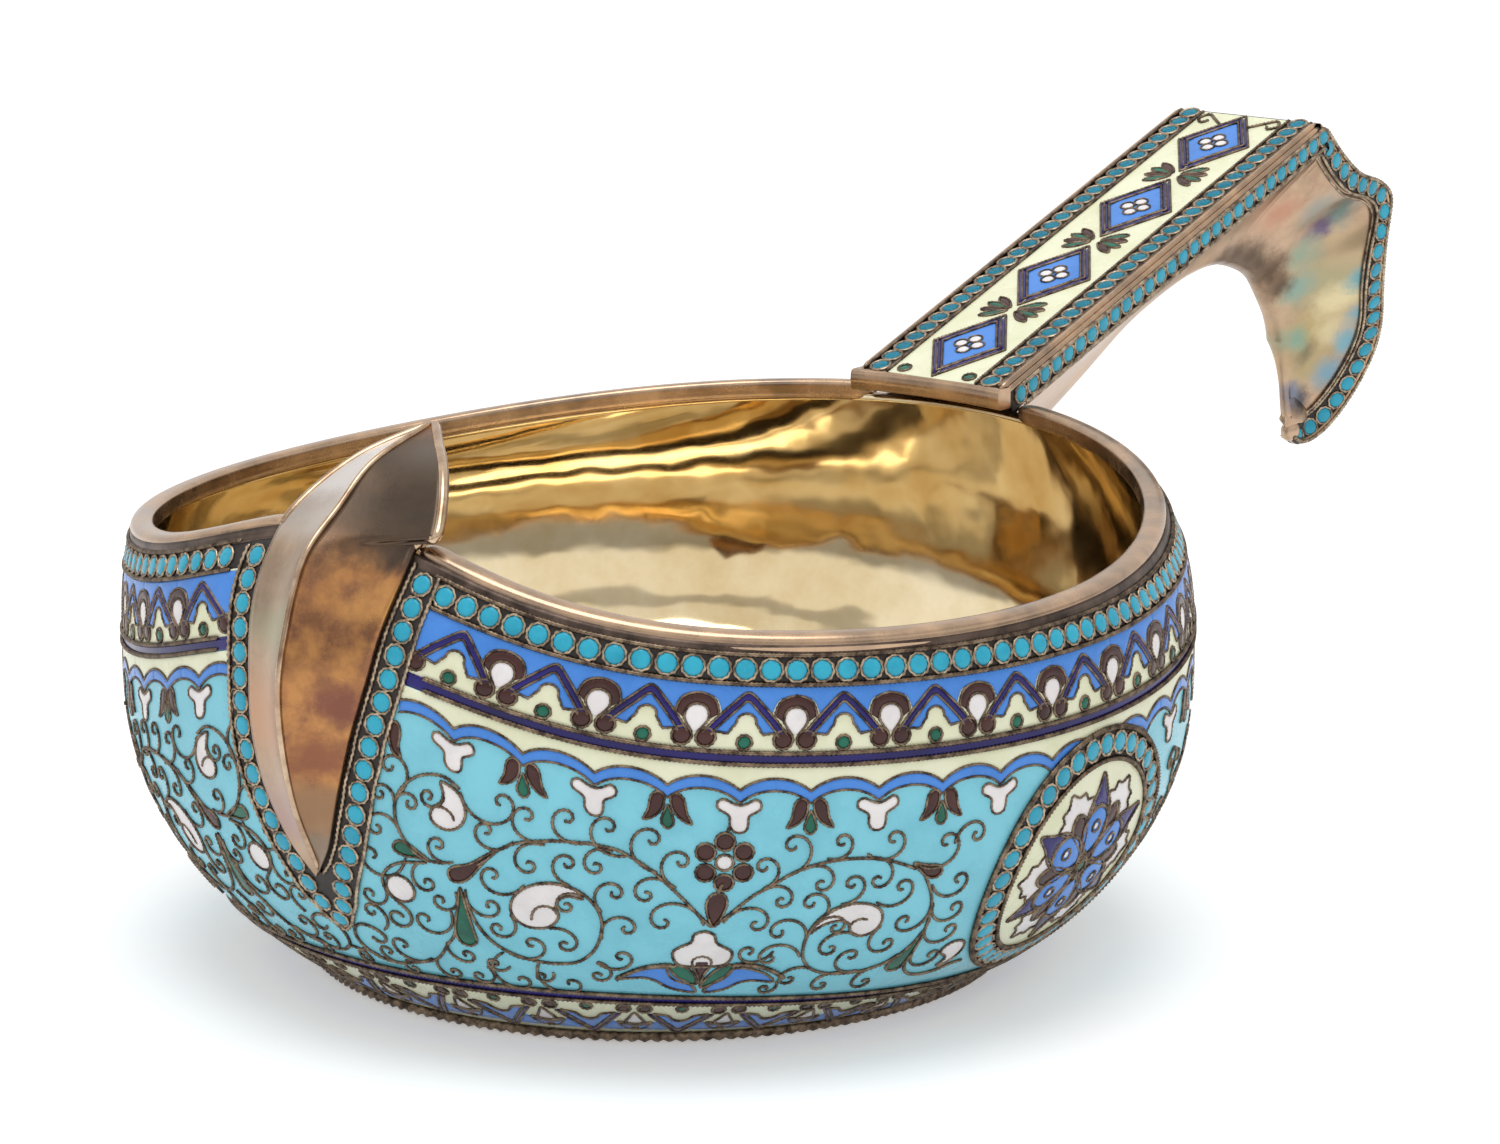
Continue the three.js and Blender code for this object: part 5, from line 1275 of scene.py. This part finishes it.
# The handle's top: lozenges with four dots, fans between them, and beads along both edges
LOZENGES, FANS = (7.2, 22.6, 38.0, 53.2), (15.0, 30.4, 45.8)
LOZENGE_WIRE, THIN_WIRE, END_CURL_WIRE, TOP_EDGE_WIRE = 0.13, 0.1, 0.16, 0.17
top_cells = cell_pieces("handle_{}_cells")
top_wires = Piece("handle_wires", wire_metal)


def lozenge(size_x, size_y):
    """A lozenge's four corners, round its middle."""
    return [(-size_x, 0), (0, -size_y), (size_x, 0), (0, size_y)]


def closed_run(corners, step=0.7):
    return straight(corners + corners[:1], step)[:-1]


outer, centre, inner = lozenge(6.6, 4.3), lozenge(5.8, 3.8), lozenge(5.0, 3.25)
for middle in LOZENGES:
    for first in range(4):
        second = (first + 1) % 4
        quarter = closed_run([outer[first], outer[second], inner[second], inner[first]], 0.8)
        cell(top_cells["cobalt"], on_top, quarter, [middle], 0.3, False)
    cell(top_cells["blue"], on_top, closed_run(inner), [middle], 0.16, False)
    for corners, radius, lift in ((outer, LOZENGE_WIRE, None), (inner, LOZENGE_WIRE, 0.15),
                                  (centre, THIN_WIRE, 0.28)):
        wire(top_wires, on_top, closed_run(corners), radius, True, False, [middle], lift=lift)
    for dx, dy in ((-1.1, 0), (1.1, 0), (0, -0.95), (0, 0.95)):
        dot(top_cells["white"], top_wires, on_top, dx, dy, 0.68, 0.06, 12, radius=THIN_WIRE,
            shifts=[middle], high=0.3, lift=0.2)
finger = [(0, 0.6), (-0.35, 1.4), (-0.48, 2.5), (0, 3.5), (0.48, 2.5), (0.35, 1.4)]
for middle in FANS:
    for side in (0, math.pi):
        for lean, colour in ((-0.62, "brown"), (-0.2, "green"), (0.2, "brown"), (0.6, "green")):
            walled_cell(top_cells[colour], top_wires, on_top, turned(finger, side + lean), shifts=[middle],
                        high=0.14)
for dy in (-3.9, 3.9):
    dot(top_cells["green"], top_wires, on_top, 1.4, dy, 0.6)
end_curl = [(57.2, 1.6), (58.4, 3), (59.3, 4.2), (58.2, 4.9), (57.4, 4.1), (58.1, 3.6)]
for side in (1, -1):
    wire(top_wires, on_top, [(x, y * side) for x, y in end_curl], END_CURL_WIRE)
    for y in (5.3, 8.05):
        wire(top_wires, on_top, level_line(np.linspace(0.3, 59.9, 200), y * side), TOP_EDGE_WIRE,
             curved=False)
    where, normals = laid(on_top, level_line(np.linspace(1.2, 59.2, 29), 6.68 * side), 0.0)
    bead_row(domes, rings, where, normals, np.gradient(where, axis=0), BEAD_RADIUS)
for piece in (top_wires, *top_cells.values()):
    piece.make()


def repaint(mat, *names):
    """Gives CAD solids that stay in view a material of their own."""
    for name in names:
        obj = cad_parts[name]
        obj.data.materials.clear()
        obj.data.materials.append(mat)


repaint(dark_ground, "handle_top_beads_right", "handle_top_beads_left")
repaint(cream, "handle_top_enamel")
repaint(silver_gilt, "handle_top_plate")

# Painted light among these spots: the two pale cream ones on the hook are painted highlights, and the two
# pinkish ones high on the arm are a painted reflection of the floor. The teal, purple and olive spots are
# patina, and the row of dark brown ones along the arch darkens its underside.
side_metal = patina_and_painted_light("handle_side_patina_and_painted_light", "c6a88c", "ab8f76", (
    ((109.0, 47.5), 5.0, "a8a07c"), ((109.5, 41.0), 4.0, "b09c68"), ((110.8, 37.5), 3.0, "ab9a72"),
    ((110.0, 51.6), 3.0, "bfa684"), ((110.6, 45.2), 2.4, "dccda2"), ((111.6, 41.5), 2.0, "cdbf98"),
    ((107.6, 55.2), 2.4, "7f9c9a"), ((104.0, 56.0), 2.2, "9a9a90"), ((106.2, 53.4), 1.7, "66547a"),
    ((105.4, 50.8), 2.2, "8fa08c"), ((106.0, 47.0), 1.9, "86a296"), ((111.6, 47.6), 1.7, "6fa2ac"),
    ((113.8, 43.5), 1.6, "6ea4b4"), ((114.1, 40.2), 1.8, "6ea4b4"), ((113.3, 36.6), 2.0, "7099ac"),
    ((109.2, 39.2), 1.6, "7c7258"), ((107.6, 41.0), 1.9, "7fa08e"), ((110.6, 33.6), 1.7, "3f4450"),
    ((108.8, 34.6), 1.8, "67748a"), ((92.8, 51.5), 1.5, "66503f"), ((95.1, 51.7), 1.9, "54402f"),
    ((97.5, 51.3), 2.2, "4d3a2b"), ((99.9, 50.3), 2.3, "4b3929"), ((102.2, 49.0), 2.2, "4e3b2c"),
    ((104.0, 47.2), 1.7, "59483a"), ((99.5, 56.0), 2.4, "bb8a70"), ((95.5, 56.6), 2.8, "c29c84")),
    rough=0.32, size=3.0, warp=3.4, grain=3.0, core=0.1, fringe=1.35, strength=0.9, metallic=0.8)

# The handle's side, as in part.mjs: sections from the keel up to the edge, along the arm and the hook
HOOK_OVERHANG, HOOK_DROP = 17.4, 37.4
ARM_SHARE, KEEL_ARM_SHARE, BORDER_SHARE = 0.6, 0.66, 0.75
MOULDING_DROP, ARM_BEADS, HOOK_BEADS = 0.75, 2.2, 2.9
HALF_WIDTH, TIP_HALF_WIDTH, KEEL_RADIUS = 8.8, 0.6, 2.0
HOOK_TOP, TAPER_START, TAPER_POWER = 66, 0.35, 1.6
SIDE_STEP, SIDE_DISH = 0.004, 0.08


def hook_spline(shares):
    """A flat line through points given by their reach along the handle and their drop below its top."""
    points = np.array([(TOP_FRONT[0] + ARM_RUN * min(reach, 1) + HOOK_OVERHANG * max(reach - 1, 0),
                        TOP_FRONT[2] + ARM_RISE * min(reach, 1) - HOOK_DROP * drop)
                       for reach, drop in shares])
    padded = np.concatenate([points[:1], points, points[-1:]])
    t = np.linspace(0, 1, 24, endpoint=False)[:, None]
    out = []
    for a, b, c, d in zip(padded, padded[1:], padded[2:], padded[3:]):
        out.append(b + (c - a) / 2 * t + (a - 2.5 * b + 2 * c - d / 2) * t * t
                   + (1.5 * (b - c) + (d - a) / 2) * t ** 3)
    return np.concatenate(out + [points[-1:]])


hook_edge = hook_spline([(1.06, 0.027), (1.24, 0.104), (1.45, 0.171), (1.695, 0.211), (1.82, 0.265),
                         (1.78, 0.388), (1.83, 0.508), (1.966, 0.652), (2, 0.749), (1.955, 0.861),
                         (1.86, 0.945), (1.73, 0.985), (1.6, 0.99), (1.5, 0.967)])
keel = hook_spline([(0.073, 0.386), (0.118, 0.368), (0.23, 0.331), (0.416, 0.286), (0.56, 0.249),
                    (0.682, 0.246), (0.786, 0.262), (0.882, 0.305), (0.969, 0.38), (1.126, 0.457),
                    (1.322, 0.561), (1.41, 0.655), (1.43, 0.77), (1.46, 0.84), (1.49, 0.9)])
keel_line, _ = resample(keel, 0.25)


def read_line(line, share):
    marks = np.linspace(0, 1, len(line))
    return np.stack([np.interp(share, marks, line[:, k]) for k in range(2)], -1)


def handle_half(z):
    """Half the handle's width at a height: it tapers down the hook."""
    share = np.clip((HOOK_TOP - z) / HOOK_DROP - TAPER_START, 0, None) / (1 - TAPER_START)
    return HALF_WIDTH - (HALF_WIDTH - TIP_HALF_WIDTH) * share ** TAPER_POWER


edge_half = np.minimum.accumulate(handle_half(hook_edge[:, 1]))
Section = namedtuple("Section", "edge border crease outward half border_half keel_half")


def top_line(share, drop):
    return on_top(share * TOP_LENGTH, 0 * share, 0 * share - drop)[..., [0, 2]]


def handle_section(u):
    """The lines of the side at shares of the handle's length, and half the width at each of them."""
    hooked = np.clip((u - ARM_SHARE) / (1 - ARM_SHARE), 0, 1)
    along = np.clip(u / ARM_SHARE, 0, 1)
    on_hook = (hooked > 0)[..., None]
    edge = np.where(on_hook, read_line(hook_edge, hooked), top_line(along, MOULDING_DROP))
    share = KEEL_ARM_SHARE * along + (1 - KEEL_ARM_SHARE) * hooked
    crease = read_line(keel_line, share)
    tangent = unit(read_line(keel_line, share + SIDE_STEP) - read_line(keel_line, share - SIDE_STEP))
    outward = np.stack([tangent[..., 1], -tangent[..., 0]], -1)
    half = np.interp(hooked, np.linspace(0, 1, len(edge_half)), edge_half)
    beads = np.minimum(HOOK_BEADS, 0.5 * np.linalg.norm(crease - edge, axis=-1))
    low_edge = edge + unit(crease - edge) * beads[..., None]
    border = np.where(on_hook, low_edge, top_line(along, MOULDING_DROP + ARM_BEADS))
    return Section(edge, border, crease, outward, half, half - 0.4 * hooked * beads,
                   np.minimum(KEEL_RADIUS, 0.4 + 0.45 * half))


def side_spot(u, v):
    """A place on the right side: dished below the bead border, straight over it."""
    here = handle_section(u)
    foothold = here.keel_half - 0.1
    t = np.clip(v / BORDER_SHARE, None, 1)
    dish = SIDE_DISH * (here.border_half - foothold) * np.sin(math.pi * np.clip(t, 0, 1))
    low = here.crease + (here.border - here.crease) * t[..., None]
    low_half = foothold + (here.border_half - foothold) * t - dish
    s = (v - BORDER_SHARE) / (1 - BORDER_SHARE)
    high = here.border + (here.edge - here.border) * s[..., None]
    high_half = here.border_half + (here.half - here.border_half) * s
    flat = np.where((v > BORDER_SHARE)[..., None], high, low)
    return np.stack([flat[..., 0], -np.where(v > BORDER_SHARE, high_half, low_half), flat[..., 1]], -1)


def on_side(u, v, h):
    """Places on the handle's right side: u along the arm and the hook, v up from the keel to the edge."""
    u, v, h = np.broadcast_arrays(np.asarray(u, float), np.asarray(v, float), np.asarray(h, float))
    along = side_spot(u + SIDE_STEP, v) - side_spot(u - SIDE_STEP, v)
    upward = side_spot(u, v + SIDE_STEP) - side_spot(u, v - SIDE_STEP)
    return side_spot(u, v) + unit(np.cross(along, upward)) * h[..., None]


def side_ground():
    """The dark ground under the beads of both sides."""
    u = np.linspace(0.008, 1, 260)
    v = np.linspace(BORDER_SHARE, 1.0, 6)
    piece = Piece("handle_side_ground", dark_ground)
    add_sheet(piece, *[on_side(u[:, None], v[None], lift) for lift in (0.0, -0.5)], flip=True)
    piece.mirror().make(["handle_side_beads_right", "handle_side_beads_left"])


side_ground()
side_wires = Piece("handle_side_wires", ring_metal)
u = np.linspace(0.03, 0.998, 400)
for v, radius in ((BORDER_SHARE + 0.01, 0.17), (BORDER_SHARE - 0.025, 0.14), (0.985, 0.2)):
    wire(side_wires, on_side, level_line(u, v), radius, curved=False, lift=0.12)
side_wires.mirror().make()

FIRST_SIDE_BEAD, LAST_SIDE_SHARE, SIDE_BEAD_LEVEL = 2.6, 0.965, 0.885
u = np.linspace(0, 1, 1200)
reached = lengths(on_side(u, (1 + BORDER_SHARE) / 2, 0.0))
row = np.interp(np.arange(FIRST_SIDE_BEAD, reached[-1], BEAD_PITCH), reached, u)
where, normals = laid(on_side, level_line(row[row < LAST_SIDE_SHARE], SIDE_BEAD_LEVEL), 0.0)
bead_row(domes, rings, where, normals, np.gradient(where, axis=0), SIDE_BEAD_RADIUS)

SHEET_THICKNESS, SHEET_STEPS, SMOOTHINGS = 0.6, 60, 14
# The knob at the hook's tip: how far past the tip, and its radii along, across and up
KNOB_SHIFT, KNOB_RADII, KNOB_ROWS, KNOB_COLUMNS = (0.4, -0.85), (1.2, 0.95, 1.15), 15, 28


def side_and_keel():
    """Both side plates and the strip between them, dressed into one smooth sheet."""
    u = np.linspace(0.03, 1, 240)
    here = handle_section(u)
    right = on_side(u[:, None], np.linspace(BORDER_SHARE + 0.02, 0.04, 18)[None], -0.1)
    turn = np.linspace(0.45, -0.45, 15) * math.pi
    flat = here.crease[:, None] + here.outward[:, None] * (here.keel_half[:, None] * np.cos(turn))[..., None]
    under = np.stack([flat[..., 0], -here.keel_half[:, None] * np.sin(turn), flat[..., 1]], -1)
    whole = np.concatenate([right, under, right[:, ::-1] * (1, -1, 1)], 1)
    sheet = np.stack([resample(line, lengths(line)[-1] / SHEET_STEPS)[0][:SHEET_STEPS + 1] for line in whole])
    for _ in range(SMOOTHINGS):
        sheet[:, 1:-1] = (sheet[:, :-2] + 2 * sheet[:, 1:-1] + sheet[:, 2:]) / 4
    outside = unit(np.cross(np.gradient(sheet, axis=1), np.gradient(sheet, axis=0)))
    piece = Piece("handle_side", side_metal)
    add_sheet(piece, sheet, sheet - SHEET_THICKNESS * outside)
    middle = 0.5 * (here.edge[-4] + here.crease[-4]) + KNOB_SHIFT
    rise = np.linspace(-0.497, 0.497, KNOB_ROWS)[:, None] * math.pi
    turn = np.linspace(0, 2 * math.pi, KNOB_COLUMNS, endpoint=False)[None]
    knob = np.stack([np.cos(rise) * np.cos(turn), np.cos(rise) * np.sin(turn), np.sin(rise) + 0 * turn], -1)
    piece.add(knob * KNOB_RADII + (middle[0], 0, middle[1]), grid_faces(KNOB_ROWS, KNOB_COLUMNS, True))
    piece.make(["handle_side_plate_right", "handle_side_plate_left", "handle_under_strip"])


END_BULGE, END_THICKNESS = 0.3, 0.7


def end_plate():
    """The strip that closes the end of the handle, from the top plate down the hook."""
    here = handle_section(np.linspace(ARM_SHARE + 0.01, 1, 160))
    inner = unit(here.crease - here.edge)
    across = np.linspace(-1, 1, 25)
    bulge = END_BULGE * np.cos(across * math.pi / 2)
    layers = []
    for depth in (0.0, END_THICKNESS):
        spots = (here.edge + inner * depth)[:, None] - inner[:, None] * bulge[None, :, None]
        sheet = np.stack([spots[..., 0], here.half[:, None] * across, spots[..., 1]], -1)
        start = on_top(TOP_LENGTH - 0.4, HALF_WIDTH * across, -0.15 - depth)
        layers.append(np.concatenate([start[None], sheet]))
    piece = Piece("handle_end", silver_gilt)
    add_sheet(piece, *layers)
    piece.make(["handle_end_strip"])


side_and_keel()
end_plate()

# The front strip's section: how far out from its front, and up from its level
FRONT_SECTION = ((0.3, -2.0), (0.0, -1.85), (-0.1, -1.0), (-0.05, -0.3), (0.12, -0.02), (0.5, 0.06))
FRONT_HALF, FRONT_X, FRONT_BOW, FRONT_BACK_X, FRONT_LEVEL = 8.9, 42.95, 0.95, 44.0, 46.55


def front_strip():
    """The plain strip along the front end of the handle, bent to the rim below it."""
    y = np.linspace(-FRONT_HALF, FRONT_HALF, 41)
    front = FRONT_X - FRONT_BOW * (y / FRONT_HALF) ** 2
    profile = [(front + out, up) for out, up in FRONT_SECTION]
    profile += [(0 * y + FRONT_BACK_X, up) for up in (0.06, -2.0)]
    rows = np.stack([np.stack([x, y, 0 * y + FRONT_LEVEL + up], -1) for x, up in profile])
    piece = Piece("handle_front", rim_metal)
    piece.add(rows, grid_faces(len(rows), len(y), False, True))
    order = np.arange(len(rows))[None]
    piece.add(rows[:, 0], order)
    piece.add(rows[:, -1], order[:, ::-1])
    piece.make(["handle_front_strip"])


front_strip()


def edge_mouldings():
    """Two thin wires side by side along each top edge of the handle."""
    piece = Piece("handle_edge_mouldings", rim_metal)
    x = np.linspace(0.3, TOP_LENGTH - 0.7, 60)
    for y, h, radius in ((-8.3, -0.1, 0.34), (-8.62, -0.55, 0.32)):
        rod(piece, on_top(x, y, h), np.tile([0.0, -1, 0], (len(x), 1)), radius, step=0.8, sides=12)
    piece.mirror().make(["handle_edge_moulding_right", "handle_edge_moulding_left"])


edge_mouldings()

for piece in (domes, rings, blue_cells, cobalt_cells, brown_cells, white_cells, green_cells, cream_cells,
              fine_wires, scrolls):
    piece.mirror().make()

# Stage and light
WHITE = (1, 1, 1, 1)
FLOOR_SIZE, FLOOR_DROP, FLOOR_COLOUR, FLOOR_GLOW = 6.0, 0.0001, (0.85, 0.85, 0.85, 1), 0.35


def floor_material():
    """White, with a glow of its own to the camera and in reflections."""
    mat = bpy.data.materials.new("white_floor")
    graph = Graph(mat)
    ray = graph.add("LightPath").outputs
    seen = graph.add("Math", {0: ray["Is Camera Ray"], 1: ray["Is Glossy Ray"]}, operation="MAXIMUM")
    seen = graph.add("Math", {0: seen.outputs[0], 1: ray["Is Transmission Ray"]}, operation="MAXIMUM")
    glow = graph.add("Math", {0: seen.outputs[0], 1: FLOOR_GLOW}, operation="MULTIPLY")
    graph.set(graph.nodes["Principled BSDF"], {
        "Base Color": FLOOR_COLOUR, "Roughness": 0.9, "Specular IOR Level": 0.0,
        "Emission Color": WHITE, "Emission Strength": glow.outputs[0]})
    return mat


def floor():
    mesh = bpy.data.meshes.new("floor")
    s = FLOOR_SIZE / 2
    mesh.from_pydata([(-s, -s, 0), (s, -s, 0), (s, s, 0), (-s, s, 0)], [], [(0, 1, 2, 3)])
    mesh.materials.append(floor_material())
    obj = bpy.data.objects.new("floor", mesh)
    obj.location = (0, 0, -FLOOR_DROP)
    bpy.context.scene.collection.objects.link(obj)


floor()

# The room's greys by height: light low down, then a dark band, a bright one and a grey one
ROOM_GREYS = ((0.0, 0.95), (0.22, 0.85), (0.3, 0.4), (0.44, 0.35), (0.5, 0.98), (0.86, 1.0), (0.9, 0.55),
              (0.97, 0.5), (1.0, 0.9))
ROOM_UNEVEN, BACKDROP_SIDE, BACKDROP_LEVEL, DIFFUSE_LEVEL = 0.4, (0.79, 0.61, 0), 0.95, 0.66


def studio():
    """White all round to the camera, with a banded room and a plain backdrop in reflections."""
    world = bpy.data.worlds.new("studio")
    bpy.context.scene.world = world
    graph = Graph(world)
    where = graph.add("TexCoord").outputs["Generated"]
    level = graph.add("SeparateXYZ", {0: where}).outputs["Z"]
    cloud = graph.add("TexNoise", {"Vector": where, "Scale": 3.0, "Detail": 2.0}).outputs["Fac"]
    uneven = graph.add("Math", {0: cloud, 1: ROOM_UNEVEN, 2: level}, operation="MULTIPLY_ADD")
    room = graph.add("ValToRGB", {"Fac": uneven.outputs[0]})
    stops = room.color_ramp.elements
    stops.remove(stops[0])
    stops[0].position = 1.0
    for place, grey in ROOM_GREYS:
        stops.new(place).color = (grey, grey, grey, 1)
    ahead = graph.add("VectorMath", {0: where, 1: BACKDROP_SIDE}, operation="DOT_PRODUCT")
    backdrop = graph.add("MapRange", {"Value": ahead.outputs["Value"], "From Min": 0.2, "From Max": 0.6},
                         interpolation_type="SMOOTHSTEP")
    around_it = graph.add("Mix", {0: backdrop.outputs["Result"], 2: room.outputs["Color"], 3: BACKDROP_LEVEL})
    ray = graph.add("LightPath").outputs
    reflected = graph.add("MapRange", {"Value": ray["Is Glossy Ray"], "To Min": DIFFUSE_LEVEL,
                                       "To Max": around_it.outputs[0]})
    seen = graph.add("Math", {0: ray["Is Camera Ray"], 1: ray["Is Transmission Ray"]}, operation="MAXIMUM")
    strength = graph.add("MapRange", {"Value": seen.outputs[0], "To Min": reflected.outputs["Result"],
                                      "To Max": 1.0})
    graph.set(graph.nodes["Background"], {"Color": WHITE, "Strength": strength.outputs["Result"]})


studio()


def area_light(name, location, size, power, glossy=True):
    """A round lamp that points at the object."""
    data = bpy.data.lights.new(name, "AREA")
    data.shape = "DISK"
    data.size = size
    data.energy = power
    obj = bpy.data.objects.new(name, data)
    obj.location = location
    direction = Vector((0, 0, 0.03)) - Vector(location)
    obj.rotation_euler = direction.to_track_quat("-Z", "Y").to_euler()
    obj.visible_glossy = glossy
    bpy.context.scene.collection.objects.link(obj)


area_light("softbox", (-0.1, -0.05, 0.9), 0.7, 4.0)
area_light("side", (-0.75, -0.55, 0.35), 0.3, 0.8, False)
bpy.context.scene.view_settings.view_transform = "Standard"
